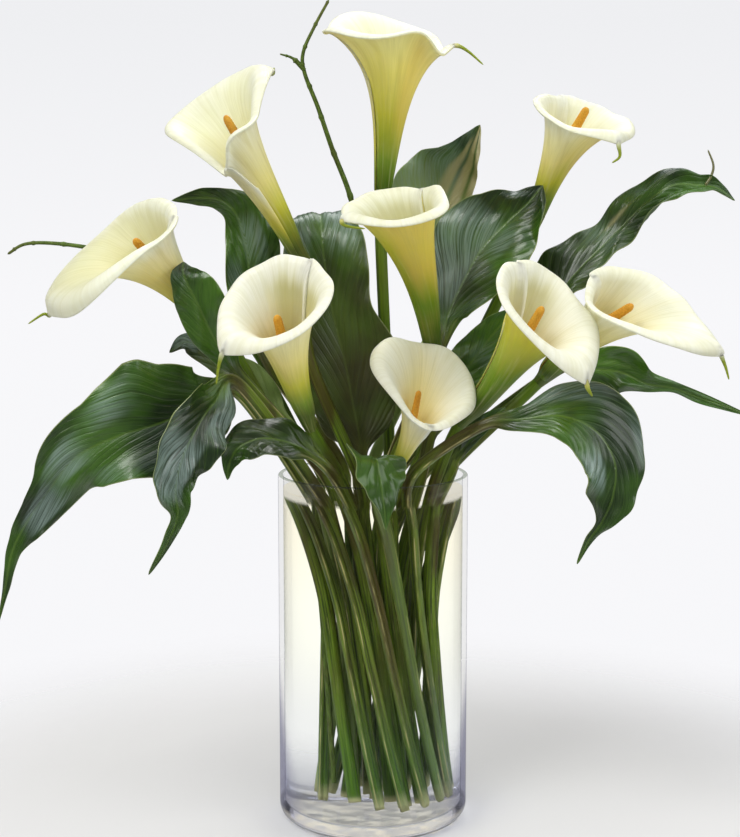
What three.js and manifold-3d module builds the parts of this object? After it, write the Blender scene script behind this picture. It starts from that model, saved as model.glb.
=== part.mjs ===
// Calla lilies with their leaves and two bare twigs, standing in a straight glass vase of water.
// Millimetres, +Z up, origin at the centre of the vase's underside, the viewer on the -Y side.
import * as THREE from "three";
import { mergeVertices } from "three/addons/utils/BufferGeometryUtils.js";
import Module from "manifold-3d";

const wasm = await Module();
wasm.setup();
const radians = THREE.MathUtils.degToRad;

// Driving dimensions of the vase
const VASE_DIAMETER = 128;
const VASE_HEIGHT = 237;
const GLASS_THICKNESS = 3.5;
const FLOOR_THICKNESS = 9;
const OUTER_CORNER = 9;
const INNER_CORNER = 4;
const VASE_SIDES = 36;
const WATER_LEVEL = 226;
const CLEARANCE = 0.3;
const TO_VIEWER = new THREE.Vector3(0, -1, 0);

// Driving dimensions of what stands in it
const FLOWER_STEM_RADIUS = 4;
const STEM_SIDES = 8;
const THIN_SIDES = 6;
const LEAF_STALK_RADIUS = 3;
const TWIG_RADIUS = 1.6;
const TWIG_TIP_RADIUS = 0.9;
const SPATHE_THICKNESS = 1.1;
const SPADIX_RADIUS = 3.2;
const BLADE_THICKNESS = 0.9;
const MIDRIB_THICKNESS = 2.2;

// The bundle in the vase: stems stand in three rings that turn together from rim to foot
const BUNDLE_TURN = 80;
const WAIST_HEIGHT = 110;
const RIM_SPREAD = 0.9;
const FOOT_SPREAD = 0.25;
const FOOT_SHIFT = 6;
const BUNDLE_HEIGHTS = [60, 110, 160, 205, VASE_HEIGHT];
const RINGS = [
  { radius: 7.5, places: 4, first: -135 },
  { radius: 17.5, places: 9, first: -90 },
  { radius: 27.5, places: 14, first: -90 },
];

// Each bloom: the ring and place of its stem, the height of the cut end, points on the stem's way up
// if it needs any, the foot of its funnel, how far it leans sideways and to the front, the turn of
// its tip (0 right, 90 back), its size, the spathe's length at the seam and at the tip and what is
// added halfway between, how far seam and tip open, how far the lip rolls over, how late it opens if
// not like the rest, its bend, the tip's curl, the spadix's top, what makes its five lobes longer
// and wider open, and the tail's points beyond the
// tip. Bend, spadix and tail are in the bloom's own frame, which stands on the foot of the funnel.
// The lobes stand at 0, 65, -65, 130 and -130 degrees from the tip.
const BLOOMS = {
  top: {
    place: [1, 4], foot: 14, base: [7, 25, 426], side: 5, front: 16, turn: -5, size: 1,
    seamLength: 116, tipLength: 94, between: 12, seamFlare: 43, tipFlare: 43, lip: 5, rise: 3,
    bend: [0, 0], curl: 0, spadix: [0, 0, 68],
    longer: [4, 5.5, 16, 11.5, 15], wider: [-6.5, 0.5, -17.5, -6.5, -9],
    tail: [[8, 0, -3], [19, 1, -11]],
  },
  upper_left: {
    place: [0, 0], foot: 16, way: [[-43, -8, 318]], base: [-52, 0, 389], side: -24, front: 17,
    turn: 55, size: 1.08,
    seamLength: 65, tipLength: 119, between: 0, seamFlare: 22, tipFlare: 43, lip: 45,
    bend: [1, 15], curl: 10, spadix: [7, 12, 96],
    longer: [11, 11, -11.5, -10.5, 16], wider: [5.5, 20, -6, -13.5, 10.5],
    tail: [[3, -2, 3]],
  },
  left: {
    place: [2, 10], foot: 20, base: [-107, -10, 338], side: -38, front: 21, turn: 167, size: 1.13,
    seamLength: 75, tipLength: 109, between: 0, seamFlare: 72, tipFlare: 94, lip: 45,
    bend: [0, 6], curl: 0, spadix: [0, 5, 80],
    longer: [0, 12, 4, -1.5, 2], wider: [-2.5, -6, 14, -6.5, -7.5],
    tail: [[3, 0, 3], [15, 2, 4]],
  },
  front_left: {
    place: [1, 8], foot: 14, base: [-44, -60, 287], side: -17, front: 41, turn: 218, size: 1.17,
    seamLength: 82, tipLength: 84, between: 0, seamFlare: 35, tipFlare: 59, lip: 45,
    bend: [-16, -4], curl: 25, spadix: [-10, -6, 76],
    longer: [3, 1, 0, 1.5, 3], wider: [0, 0, 4, 1.5, -6.5],
    tail: [[6, 1, -5], [13, 3, -12]],
  },
  centre: {
    place: [0, 1], foot: 18, base: [38, -20, 329], side: -8, front: 20, turn: 232, size: 1.13,
    seamLength: 88, tipLength: 90, between: 0, seamFlare: 27, tipFlare: 46, lip: 45,
    bend: [2, -9], curl: 0, spadix: [1, -4, 62],
    longer: [9, 14, 1.5, 5.5, 4], wider: [-1, 9, -1.5, -9, 14],
    tail: [[-1, 3, -3], [-7, 12, -6]],
  },
  front: {
    place: [1, 0], foot: 14, base: [14, -50, 248], side: 29, front: 35, turn: 118, size: 0.68,
    seamLength: 78, tipLength: 126, between: 0, seamFlare: 80, tipFlare: 69, lip: 45,
    bend: [32, -6], curl: 7, spadix: [20, 3, 53],
    longer: [6.5, 1, -1.5, -5.5, 6], wider: [11.5, 2.5, 3.5, -10.5, -7],
    tail: [[-4, -3, -2]],
  },
  right_front: {
    place: [2, 2], foot: 15, base: [67.5, -37.5, 287], side: 36, front: 28, turn: -38, size: 1.25,
    seamLength: 78, tipLength: 80, between: 0, seamFlare: 44, tipFlare: 88, lip: 45,
    bend: [-11, -4], curl: 24, spadix: [-8, -3, 85],
    longer: [2, 1.5, 0.5, 1, 1], wider: [5.5, 0, 4, 7, 3.5],
    tail: [[6, 3, -3]],
  },
  right: {
    place: [2, 4], foot: 14, base: [119.5, 3, 307], side: 37, front: 37, turn: -15, size: 1.25,
    seamLength: 70, tipLength: 90, between: 0, seamFlare: 73, tipFlare: 26, lip: 45,
    bend: [12, -5], curl: 31, spadix: [10, -5, 86],
    longer: [6, -0.5, 1.5, 2.5, -6], wider: [6.5, -14, 0, -1, 6.5],
    tail: [[7, -1, -3], [14, -2, -7]],
  },
  upper_right: {
    place: [1, 3], foot: 22, base: [112, 35, 412], side: 16, front: 23, turn: -63, size: 1.17,
    seamLength: 69, tipLength: 74, between: 0, seamFlare: 66, tipFlare: 100, lip: 45,
    bend: [4, 6], curl: 3, spadix: [5, 8, 80],
    longer: [6, 3.5, -2, 0, 3], wider: [-2, -6.5, -5, 1, -3.5],
    tail: [[4, 1, -6], [4, -3, -11]],
  },
};

// Each leaf: the ring and place of its stalk, the height of the cut end, points on the way up, the
// side that the blade faces, its fold and edge waves, then stations along the midrib: x, y, z and the
// half widths on the clockwise and the anticlockwise side of the midrib as the viewer sees it.
// One leaf also has a thin tendril near its tip.
const LEAVES = {
  left_long: {
    place: [2, 11], foot: 16, way: [], face: [0.1, -0.8, 0.6], fold: 10, wave: 2.5, waves: 3,
    blade: [[-89, -25, 294, 5, 5], [-109, -42, 288, 26, 25], [-136, -58, 278, 46, 37],
      [-164, -66, 270, 36, 30], [-189, -66, 257, 25, 25], [-208, -62, 234, 13, 19],
      [-223, -58, 213, 8, 14], [-233, -55, 194, 4, 6], [-239, -52, 169, 1.5, 3],
      [-245, -50, 144, 0.5, 0.5]],
  },
  left_front: {
    place: [2, 12], foot: 14, way: [], face: [-0.2, -0.8, 0.5], fold: 14, wave: 2, waves: 3,
    blade: [[-87, -45, 302, 3, 3], [-101, -68, 292, 16, 16], [-111, -82, 277, 20, 21],
      [-119, -90, 259, 23, 18], [-123, -92, 241, 16, 11], [-122, -92, 225, 6, 7],
      [-128, -90, 209, 4, 4], [-141, -88, 186, 0.5, 0.5]],
  },
  upper_left: {
    place: [2, 8], foot: 15, way: [], face: [0, -1, 0.2], fold: 12, wave: 1.5, waves: 2,
    blade: [[-67, 20, 303, 5, 5], [-76, 30, 334, 16, 16], [-84, 36, 365, 22, 19],
      [-88, 38, 392, 22, 15], [-94, 34, 411, 17, 9], [-105, 28, 420, 9, 7],
      [-119, 22, 421, 6, 5], [-135, 16, 419, 0.5, 0.5]],
  },
  centre_left: {
    place: [0, 3], foot: 20, way: [], face: [0, -1, 0], fold: 8, wave: 1.5, waves: 2,
    blade: [[-8, 10, 249, 8, 8], [-10, 13, 264, 23, 22], [-14, 15, 284, 34, 28], [-19, 17, 310, 39, 28],
      [-27, 20, 342, 27, 31], [-32, 22, 372, 29, 29], [-35, 26, 396, 28, 25],
      [-36, 42, 409, 19, 18], [-38, 64, 405, 8, 8], [-40, 80, 394, 0.5, 0.5]],
  },
  back_top: {
    place: [2, 7], foot: 17, way: [], face: [0.1, -1, 0], fold: 24, wave: 2.5, waves: 4,
    blade: [[40, 36, 328, 5, 5], [40, 52, 361, 13, 15], [43, 62, 393, 16, 30],
      [48, 66, 418, 23, 36], [56, 64, 438, 21, 32], [65, 60, 454, 13, 13],
      [74, 56, 471, 0.5, 0.5]],
  },
  centre_right: {
    place: [0, 2], foot: 14, way: [], face: [-0.2, -1, 0.1], fold: 14, wave: 2, waves: 3,
    blade: [[44, 5, 319, 5, 5], [51, 14, 343, 15, 16], [62, 20, 366, 27, 28],
      [74, 22, 387, 35, 35], [91, 20, 405, 31, 25], [104, 18, 417, 20, 14],
      [114, 17, 429, 0.5, 0.5]],
  },
  right_upper: {
    place: [2, 6], foot: 14, way: [], face: [-0.2, -0.8, 0.6], fold: 16, wave: 2.5, waves: 4,
    blade: [[116, 15, 338, 5, 5], [128, 18, 358, 13, 25], [139, 20, 372, 16, 27],
      [154, 22, 387, 15, 20], [168, 22, 401, 13, 18], [184, 20, 417, 12, 16],
      [201, 18, 429, 14, 15], [219, 18, 429, 8, 7], [231, 18, 427, 3, 5],
      [243, 18, 419, 0.5, 0.5]],
    tendril: [[223, 18, 429], [227, 18, 436], [228, 18, 443], [224, 18, 453]],
  },
  left_inner: {
    place: [1, 7], foot: 15, way: [], face: [-0.3, -1, 0.3], fold: 10, wave: 1, waves: 2,
    blade: [[-83, -14, 298, 4, 4], [-96, -30, 317, 9, 8], [-105, -40, 336, 17, 14],
      [-112, -46, 353, 18, 15], [-118, -50, 366, 16, 11], [-121, -49, 374, 9, 8],
      [-121, -44, 380, 0.5, 0.5]],
  },
  left_back: {
    place: [1, 6], foot: 18, way: [], face: [0, -1, 0.4], fold: 10, wave: 1, waves: 2,
    blade: [[-58, 17, 268, 4, 4], [-72, 18, 283, 12, 11], [-88, 19, 298, 14, 12],
      [-104, 22, 309, 10, 9], [-118, 25, 319, 10, 9],
      [-129, 26, 323, 6, 6], [-139, 24, 316, 0.5, 0.5]],
  },
  right_drop: {
    place: [2, 1], foot: 13, way: [[38, -54, 256]], face: [0, -0.7, 0.7], fold: 10, wave: 2, waves: 3,
    blade: [[71, -52, 276, 4, 4], [93, -63, 281, 12, 10], [119, -70, 284, 17, 22],
      [140, -74, 275, 22, 31], [152, -76, 255, 25, 21], [151, -76, 234, 20, 15],
      [145, -74, 218, 5, 8], [137, -72, 205, 3, 3], [130, -70, 189, 0.5, 0.5]],
  },
  right_tail: {
    place: [2, 5], foot: 18, way: [], face: [0, -0.8, 0.6], fold: 14, wave: 2, waves: 3,
    blade: [[127, 22, 305, 5, 5], [149, 22, 305, 13, 13], [169, 21, 303, 16, 18],
      [187, 20, 295, 6, 10], [205, 20, 292, 3, 5], [222, 19, 286, 4, 4],
      [240, 18, 280, 3, 2], [258, 17, 273, 0.5, 0.5]],
  },
  front_tip: {
    place: [2, 0], foot: 14, way: [], face: [0, 0.4, 1], fold: 10, wave: 1.5, waves: 2,
    blade: [[-1, -57, 247, 4, 4], [0, -64, 255, 15, 6], [2, -72, 256, 25, 21],
      [4, -77, 246, 18, 19], [6, -79, 231, 8, 9], [8, -80, 213, 0.5, 0.5]],
  },
  left_low: {
    place: [2, 13], foot: 14, way: [], face: [0, -0.6, 0.8], fold: 12, wave: 1.5, waves: 3,
    blade: [[-34, -50, 252, 4, 4], [-52, -54, 264, 14, 14], [-71, -58, 268, 15, 14],
      [-85, -62, 263, 13, 12], [-91, -63, 254, 6, 6], [-93, -62, 242, 0.5, 0.5]],
  },
  right_low: {
    place: [2, 3], foot: 15, way: [], face: [0, -1, 0.3], fold: 10, wave: 1, waves: 2,
    blade: [[55, -9, 248, 4, 4], [62, -11, 257, 4, 10], [70, -13, 266, 4, 9],
      [78, -15, 275, 4, 6], [88, -15, 283, 0.5, 0.5]],
  },
  centre_low: {
    place: [1, 2], foot: 16, way: [], face: [0, -1, 0.2], fold: 12, wave: 1, waves: 2,
    blade: [[40, -8, 270, 5, 5], [54, 0, 294, 15, 15], [68, 4, 314, 16, 16],
      [83, 6, 333, 11, 11], [98, 6, 349, 0.5, 0.5]],
  },
};

// Each twig: its place in the bundle, the height of the cut end, its points above the rim and the
// points of its side shoot, if it has one.
const TWIGS = {
  top: {
    place: [1, 5], foot: 45,
    way: [[-6, 44, 320], [-10, 56, 380], [-15, 60, 419], [-28, 60, 454], [-38, 60, 483], [-47, 60, 506],
      [-48, 60, 520], [-40, 60, 538], [-30, 60, 556]],
    shoot: [[-47, 60, 508], [-55, 59, 516], [-64, 58, 519]],
  },
  left: {
    place: [2, 9], foot: 30,
    way: [[-92, 34, 330], [-151, 24, 378], [-178, 20, 385], [-211, 20, 390], [-234, 20, 390],
      [-247, 20, 383]],
  },
};

const vector = (values) => new THREE.Vector3(values[0], values[1], values[2]);

// The middle of the stem at a place of the bundle, at a height in the vase.
function bundlePoint([ring, place], height) {
  const { radius, places, first } = RINGS[ring];
  const above = Math.max(0, (height - WAIST_HEIGHT) / (VASE_HEIGHT - WAIST_HEIGHT));
  const below = Math.max(0, (WAIST_HEIGHT - height) / WAIST_HEIGHT);
  const reach = radius * (1 + RIM_SPREAD * above ** 3 + FOOT_SPREAD * below ** 2);
  const downward = 1 - height / VASE_HEIGHT;
  const angle = radians(first + (360 * place) / places + BUNDLE_TURN * downward);
  const shift = FOOT_SHIFT * downward;
  return new THREE.Vector3(shift + reach * Math.cos(angle), reach * Math.sin(angle), height);
}

const bundlePoints = ({ place, foot }) =>
  [foot, ...BUNDLE_HEIGHTS].map((height) => bundlePoint(place, height));

// A smooth curve through points, read by the points' own numbering.
function curveThrough(points) {
  const curve = new THREE.CatmullRomCurve3(points, false, "catmullrom", 0.5);
  const last = points.length - 1;
  return {
    last,
    point: (number) => curve.getPoint(Math.min(1, number / last)),
    tangent: (number) => curve.getTangent(Math.min(1, number / last)),
  };
}

// Steps from one number to another, both ends included.
const steps = (from, to, count) =>
  Array.from({ length: count + 1 }, (_, i) => from + ((to - from) * i) / count);

// Frames along a curve: the normal starts near the wanted side and turns no more than the curve does.
function framesAlong(curve, numbers, side, start = 0) {
  const frames = numbers.map((number) => ({
    number,
    point: curve.point(number),
    tangent: curve.tangent(number).normalize(),
  }));
  const settle = (frame, wanted) => {
    frame.normal = wanted.clone().addScaledVector(frame.tangent, -wanted.dot(frame.tangent)).normalize();
    frame.across = new THREE.Vector3().crossVectors(frame.tangent, frame.normal);
    return frame.normal;
  };
  let normal = settle(frames[start], side);
  for (let i = start + 1; i < frames.length; i++) normal = settle(frames[i], normal);
  normal = frames[start].normal;
  for (let i = start - 1; i >= 0; i--) normal = settle(frames[i], normal);
  return frames;
}

const placeIn = (frame, across, along) =>
  frame.point.clone().addScaledVector(frame.across, across).addScaledVector(frame.normal, along);

// A closed body through rings. Each ring runs over the upper face and back under it, and the two
// faces are split into triangles alike, so that a thin waved blade keeps its thickness.
function skin(rings) {
  const count = rings[0].length;
  const half = count / 2;
  const positions = rings.flat().flatMap((point) => point.toArray());
  const indices = [];
  const at = (ring, k) => ring * count + (k % count);
  const quad = (a, b, c, d) => indices.push(a, b, c, a, c, d);
  for (let i = 0; i + 1 < rings.length; i++)
    for (let k = 0; k < count; k++)
      if (k < half) quad(at(i, k), at(i, k + 1), at(i + 1, k + 1), at(i + 1, k));
      else quad(at(i, k + 1), at(i + 1, k + 1), at(i + 1, k), at(i, k));
  const end = rings.length - 1;
  for (let k = 0; k + 1 < half; k++) {
    const under = count - 1 - k;
    quad(at(0, k), at(0, under), at(0, under - 1), at(0, k + 1));
    quad(at(end, k), at(end, k + 1), at(end, under - 1), at(end, under));
  }
  const geometry = new THREE.BufferGeometry();
  geometry.setAttribute("position", new THREE.Float32BufferAttribute(positions, 3));
  geometry.setIndex(indices);
  return facingOut(geometry);
}

// The signed volume tells which way the faces look, and they are turned outward.
function facingOut(geometry) {
  const p = geometry.getAttribute("position");
  const index = geometry.index.array;
  const corner = (k) => new THREE.Vector3().fromBufferAttribute(p, index[k]);
  let volume = 0;
  for (let k = 0; k < index.length; k += 3)
    volume += corner(k).dot(corner(k + 1).cross(corner(k + 2)));
  if (volume < 0)
    for (let k = 0; k < index.length; k += 3) [index[k + 1], index[k + 2]] = [index[k + 2], index[k + 1]];
  return geometry;
}

// A round body along frames, with a radius for each of them.
function roundBody(frames, radiusAt, sides) {
  const ring = (frame) =>
    steps(0, 360, sides).slice(0, sides).map((angle) => {
      const radius = radiusAt(frame.number);
      return placeIn(frame, radius * Math.cos(radians(angle)), radius * Math.sin(radians(angle)));
    });
  return skin(frames.map(ring));
}

// Joining and cutting of closed bodies
function solidOf(geometry) {
  const bare = new THREE.BufferGeometry();
  bare.setAttribute("position", geometry.getAttribute("position").clone());
  if (geometry.index) bare.setIndex(geometry.index.clone());
  const merged = mergeVertices(bare, 1e-4);
  return new wasm.Manifold(
    new wasm.Mesh({
      numProp: 3,
      vertProperties: Float32Array.from(merged.getAttribute("position").array),
      triVerts: Uint32Array.from(merged.index.array),
    }),
  );
}

function geometryOf(solid) {
  const mesh = solid.getMesh();
  const geometry = new THREE.BufferGeometry();
  geometry.setAttribute("position", new THREE.Float32BufferAttribute(mesh.vertProperties, 3));
  geometry.setIndex(Array.from(mesh.triVerts));
  return geometry;
}

const joined = (...bodies) => geometryOf(bodies.map(solidOf).reduce((all, body) => all.add(body)));

// The vase: a thick floor, a straight wall with a rounded rim, and rounded corners at the foot
function arc(centreX, centreY, radius, from, to, count) {
  return steps(from, to, count).map(
    (angle) =>
      new THREE.Vector2(
        centreX + radius * Math.cos(radians(angle)),
        centreY + radius * Math.sin(radians(angle)),
      ),
  );
}

function vaseGeometry() {
  const outer = VASE_DIAMETER / 2;
  const inner = outer - GLASS_THICKNESS;
  const rim = GLASS_THICKNESS / 2;
  const profile = [
    new THREE.Vector2(0, 0),
    ...arc(outer - OUTER_CORNER, OUTER_CORNER, OUTER_CORNER, -90, 0, 3),
    ...arc(outer - rim, VASE_HEIGHT - rim, rim, 0, 180, 4),
    ...arc(inner - INNER_CORNER, FLOOR_THICKNESS + INNER_CORNER, INNER_CORNER, 0, -90, 2),
    new THREE.Vector2(0, FLOOR_THICKNESS),
  ];
  return turnedBody(profile);
}

// A closed body from a profile of radius and height that runs from the axis round to the axis.
const turnedBody = (profile) =>
  geometryOf(solidOf(new THREE.LatheGeometry(profile, VASE_SIDES).rotateX(Math.PI / 2)));

// The water fills the vase to its level, and every stem and stalk stands in a plain hole in it. A hole
// runs to the rim the way its stem does, so it is told the next point that the stem goes through.
function waterGeometry(standing) {
  const radius = VASE_DIAMETER / 2 - GLASS_THICKNESS - CLEARANCE;
  const bottom = FLOOR_THICKNESS + CLEARANCE;
  const body = turnedBody([
    new THREE.Vector2(0, bottom),
    ...arc(radius - INNER_CORNER, bottom + INNER_CORNER, INNER_CORNER, -90, 0, 2),
    new THREE.Vector2(radius, WATER_LEVEL),
    new THREE.Vector2(0, WATER_LEVEL),
  ]);
  const holes = standing.map(({ place, foot, next, radius: stem }) => {
    const points = bundlePoints({ place, foot });
    const curve = curveThrough([...points, next]);
    const frames = framesAlong(curve, steps(0, points.length - 1, points.length - 1), TO_VIEWER);
    frames[0].point.addScaledVector(frames[0].tangent, -CLEARANCE);
    const wall = (stem + CLEARANCE) / Math.cos(Math.PI / STEM_SIDES);
    return solidOf(roundBody(frames, () => wall, STEM_SIDES));
  });
  return geometryOf(holes.reduce((water, hole) => water.subtract(hole), solidOf(body)));
}

// The spathe: one sheet rolled into a funnel whose edges overlap at the seam. An angle of 0 is the
// tip, plus and minus 180 degrees the seam, and the sheet runs on by the overlap on both sides.
const SPATHE = {
  footRadius: 5.6, firstSlope: 5, rise: 2.2, lipFrom: 0.86, curlFrom: 0.6, curlWidth: 0.6,
  point: 14, pointWidth: 0.3, overlap: 30, overlapDrop: 0.4, layerGap: 2.2, bendHeight: 80,
  steepest: 150, columns: 14, rows: 6, rowCrowding: 1.3, pieces: 24,
  lobes: [[0, 0.4], [65, 0.6], [-65, 0.6], [130, 0.6], [-130, 0.6]],
};

const smooth = (from, to, value) => THREE.MathUtils.smoothstep(value, from, to);

function lobesAt(amounts, angle) {
  return SPATHE.lobes.reduce(
    (sum, [place, width], i) => sum + amounts[i] * Math.exp(-(((angle - radians(place)) / width) ** 2)),
    0,
  );
}

function spatheLength(bloom, angle) {
  const away = Math.abs(angle);
  const towardTip = (1 + Math.cos(Math.min(away, Math.PI))) / 2;
  const length =
    bloom.seamLength +
    (bloom.tipLength - bloom.seamLength) * towardTip +
    bloom.between * Math.sin(Math.min(away, Math.PI)) ** 2 +
    SPATHE.point * Math.exp(-away / SPATHE.pointWidth) +
    lobesAt(bloom.longer, angle);
  return length * (1 - SPATHE.overlapDrop * smooth(0, radians(SPATHE.overlap), away - Math.PI));
}

function spathePoint(bloom, angle, share) {
  const length = spatheLength(bloom, angle) * share;
  const whole = spatheLength(bloom, angle);
  const towardTip = (1 + Math.cos(Math.min(Math.abs(angle), Math.PI))) / 2;
  const flare =
    bloom.seamFlare + (bloom.tipFlare - bloom.seamFlare) * towardTip + lobesAt(bloom.wider, angle);
  const { pieces } = SPATHE;
  let radius = SPATHE.footRadius + (SPATHE.layerGap * angle) / (2 * Math.PI);
  let height = 0;
  for (let i = 0; i < pieces; i++) {
    const along = (length * (i + 0.5)) / pieces;
    const part = along / whole;
    const slope =
      SPATHE.firstSlope +
      flare * (along / 100) ** (bloom.rise ?? SPATHE.rise) +
      bloom.lip * smooth(SPATHE.lipFrom, 1, part) +
      bloom.curl * Math.exp(-((angle / SPATHE.curlWidth) ** 2)) * smooth(SPATHE.curlFrom, 1, part);
    const lean = radians(Math.min(slope, SPATHE.steepest));
    radius += (Math.sin(lean) * length) / pieces;
    height += (Math.cos(lean) * length) / pieces;
  }
  const bend = (height / SPATHE.bendHeight) ** 2;
  return new THREE.Vector3(
    radius * Math.cos(angle) + bloom.bend[0] * bend,
    radius * Math.sin(angle) + bloom.bend[1] * bend,
    height,
  ).multiplyScalar(bloom.size);
}

function spatheRing(bloom, share) {
  const limit = Math.PI + radians(SPATHE.overlap);
  const nudge = 0.01;
  const columns = steps(-limit, limit, SPATHE.columns).map((angle) => {
    const middle = spathePoint(bloom, angle, share);
    const low = Math.max(0, share - nudge);
    const high = Math.min(1, share + nudge);
    const along = spathePoint(bloom, angle, high).sub(spathePoint(bloom, angle, low));
    const around = spathePoint(bloom, angle + nudge, share).sub(spathePoint(bloom, angle - nudge, share));
    const normal = along.cross(around).normalize().multiplyScalar(SPATHE_THICKNESS / 2);
    return { inside: middle.clone().add(normal), outside: middle.clone().sub(normal) };
  });
  return [...columns.map((c) => c.inside), ...columns.map((c) => c.outside).reverse()];
}

// The sheet ends in a thin tail that is sunk into its tip.
const TAIL = { root: 0.94, radius: 1.2, end: 0.4, steps: 4 };

function spatheGeometry(bloom) {
  const shares = steps(1, 0, SPATHE.rows).map((left) => 1 - left ** SPATHE.rowCrowding);
  const sheet = skin(shares.map((share) => spatheRing(bloom, share)));
  const tip = spathePoint(bloom, 0, 1);
  const root = spathePoint(bloom, 0, TAIL.root);
  const beyond = bloom.tail.map((offset) => tip.clone().add(vector(offset)));
  const curve = curveThrough([root, tip, ...beyond]);
  const frames = framesAlong(curve, steps(0, curve.last, TAIL.steps), new THREE.Vector3(0, 1, 0.2));
  const radiusAt = (number) => THREE.MathUtils.lerp(TAIL.radius, TAIL.end, number / curve.last);
  return joined(sheet, roundBody(frames, radiusAt, THIN_SIDES));
}

// The spadix stands on the stem inside the funnel, and rounds off at its top.
function spadixGeometry(bloom) {
  const top = vector(bloom.spadix);
  const middle = new THREE.Vector3(top.x / 4, top.y / 4, top.z / 2);
  const curve = curveThrough([new THREE.Vector3(0, 0, 0), middle, top]);
  const frames = framesAlong(curve, [0, 0.7, 1.4, 1.9, 2], new THREE.Vector3(0, 1, 0));
  const full = SPADIX_RADIUS * Math.min(1, bloom.size);
  const share = (number) => 0.85 + 0.15 * smooth(0, 0.7, number) - 0.65 * smooth(1.7, 2, number);
  return roundBody(frames, (number) => full * share(number), THIN_SIDES);
}

const flowerTurn = ({ side, front, turn }) =>
  new THREE.Euler(radians(front), radians(side), radians(turn), "YXZ");

// The stem widens under the funnel, and its flat top is square to the flower's axis.
const NECK = 24;
const STEM_STEP = 45;

const flowerAxis = (bloom) => new THREE.Vector3(0, 0, 1).applyEuler(flowerTurn(bloom));
const belowFlower = (bloom, distance) => vector(bloom.base).addScaledVector(flowerAxis(bloom), -distance);

// The first point of a flower's stem above the rim
const afterRim = (bloom) => (bloom.way ? vector(bloom.way[0]) : belowFlower(bloom, NECK));

function stemGeometry(bloom) {
  const axis = flowerAxis(bloom);
  const way = (bloom.way ?? []).map(vector);
  const foot = [belowFlower(bloom, NECK), belowFlower(bloom, CLEARANCE)];
  const curve = curveThrough([...bundlePoints(bloom), ...way, ...foot]);
  const { last } = curve;
  const open = curve.point(last - 1).distanceTo(curve.point(last - 2));
  const numbers = [
    ...steps(0, last - 2, last - 2),
    ...steps(last - 2, last - 1, Math.max(1, Math.round(open / STEM_STEP))).slice(1),
    last - 0.4,
    last,
  ];
  const frames = framesAlong(curve, numbers, TO_VIEWER);
  squareTo(frames[frames.length - 1], axis);
  const top = SPATHE.footRadius * bloom.size + SPATHE_THICKNESS;
  const widened = (number) =>
    THREE.MathUtils.lerp(FLOWER_STEM_RADIUS, top, smooth(last - 1, last, number));
  return roundBody(frames, widened, STEM_SIDES);
}

function squareTo(frame, axis) {
  frame.normal.addScaledVector(axis, -frame.normal.dot(axis)).normalize();
  frame.across.crossVectors(axis, frame.normal);
}

// A leaf is one body: a round stalk that flattens into the blade along its midrib. The columns
// run across it, and on the stalk they stand round it up to the angle of its edges.
const LEAF_COLUMNS = [-1, -0.5, 0, 0.5, 1];
const BLADE_STEPS = 10;
const STALK_EDGE = 72;
const CALM_WIDTH = 12;

function leafGeometry(leaf) {
  const stalk = [...bundlePoints(leaf), ...leaf.way.map(vector)];
  const stations = leaf.blade;
  const curve = curveThrough([...stalk, ...stations.map(vector)]);
  const bladeStart = stalk.length;
  const numbers = [
    ...steps(0, bladeStart - 1, bladeStart - 1),
    bladeStart - 0.5,
    ...steps(bladeStart, curve.last, BLADE_STEPS),
  ];
  const frames = framesAlong(curve, numbers, vector(leaf.face), bladeStart + 1);
  const widths = curveThrough(stations.map((s) => new THREE.Vector3(s[3], s[4], 0)));
  const blade = skin(frames.map((frame) => leafRing(leaf, frame, frame.number - bladeStart, widths)));
  return leaf.tendril ? joined(blade, stick(leaf.tendril.map(vector), 0.9, 0.4)) : blade;
}

function leafRing(leaf, frame, along, widths) {
  const flat = smooth(-0.2, 1, along);
  const share = THREE.MathUtils.clamp(along / widths.last, 0, 1);
  const halves = widths.point(Math.max(0, along));
  const lift = Math.tan(radians(leaf.fold));
  const edge = (side, upper) => {
    const angle = radians(STALK_EDGE * side);
    const half = side > 0 ? halves.x : halves.y;
    const reach = Math.max(0.5, half) * side;
    const ripple = leaf.wave * side * side * Math.sin(Math.PI * leaf.waves * (2 * share + 0.5 * side));
    const calm = Math.min(1, half / CALM_WIDTH);
    const rib = 1 - Math.min(1, Math.abs(side) * 2);
    const thick = BLADE_THICKNESS + (MIDRIB_THICKNESS - BLADE_THICKNESS) * rib * (1 - share);
    const height = lift * Math.abs(reach) + ripple * calm + ((upper ? 1 : -1) * thick) / 2;
    const round = (upper ? 1 : -1) * LEAF_STALK_RADIUS * Math.cos(angle);
    return placeIn(
      frame,
      THREE.MathUtils.lerp(LEAF_STALK_RADIUS * Math.sin(angle), reach, flat),
      THREE.MathUtils.lerp(round, height, flat),
    );
  };
  return [
    ...LEAF_COLUMNS.map((side) => edge(side, true)),
    ...LEAF_COLUMNS.toReversed().map((side) => edge(side, false)),
  ];
}

// A thin round stick through points, from one radius to another.
function stick(points, from, to) {
  const curve = curveThrough(points);
  const frames = framesAlong(curve, steps(0, curve.last, curve.last), new THREE.Vector3(0, -1, 0.1));
  const radiusAt = (number) => THREE.MathUtils.lerp(from, to, number / curve.last);
  return roundBody(frames, radiusAt, THIN_SIDES);
}

// A twig thins to its tip, and a side shoot is sunk into it.
function twigGeometry(twig) {
  const main = stick([...bundlePoints(twig), ...twig.way.map(vector)], TWIG_RADIUS, TWIG_TIP_RADIUS);
  return twig.shoot ? joined(main, stick(twig.shoot.map(vector), 1, 0.6)) : main;
}

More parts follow.
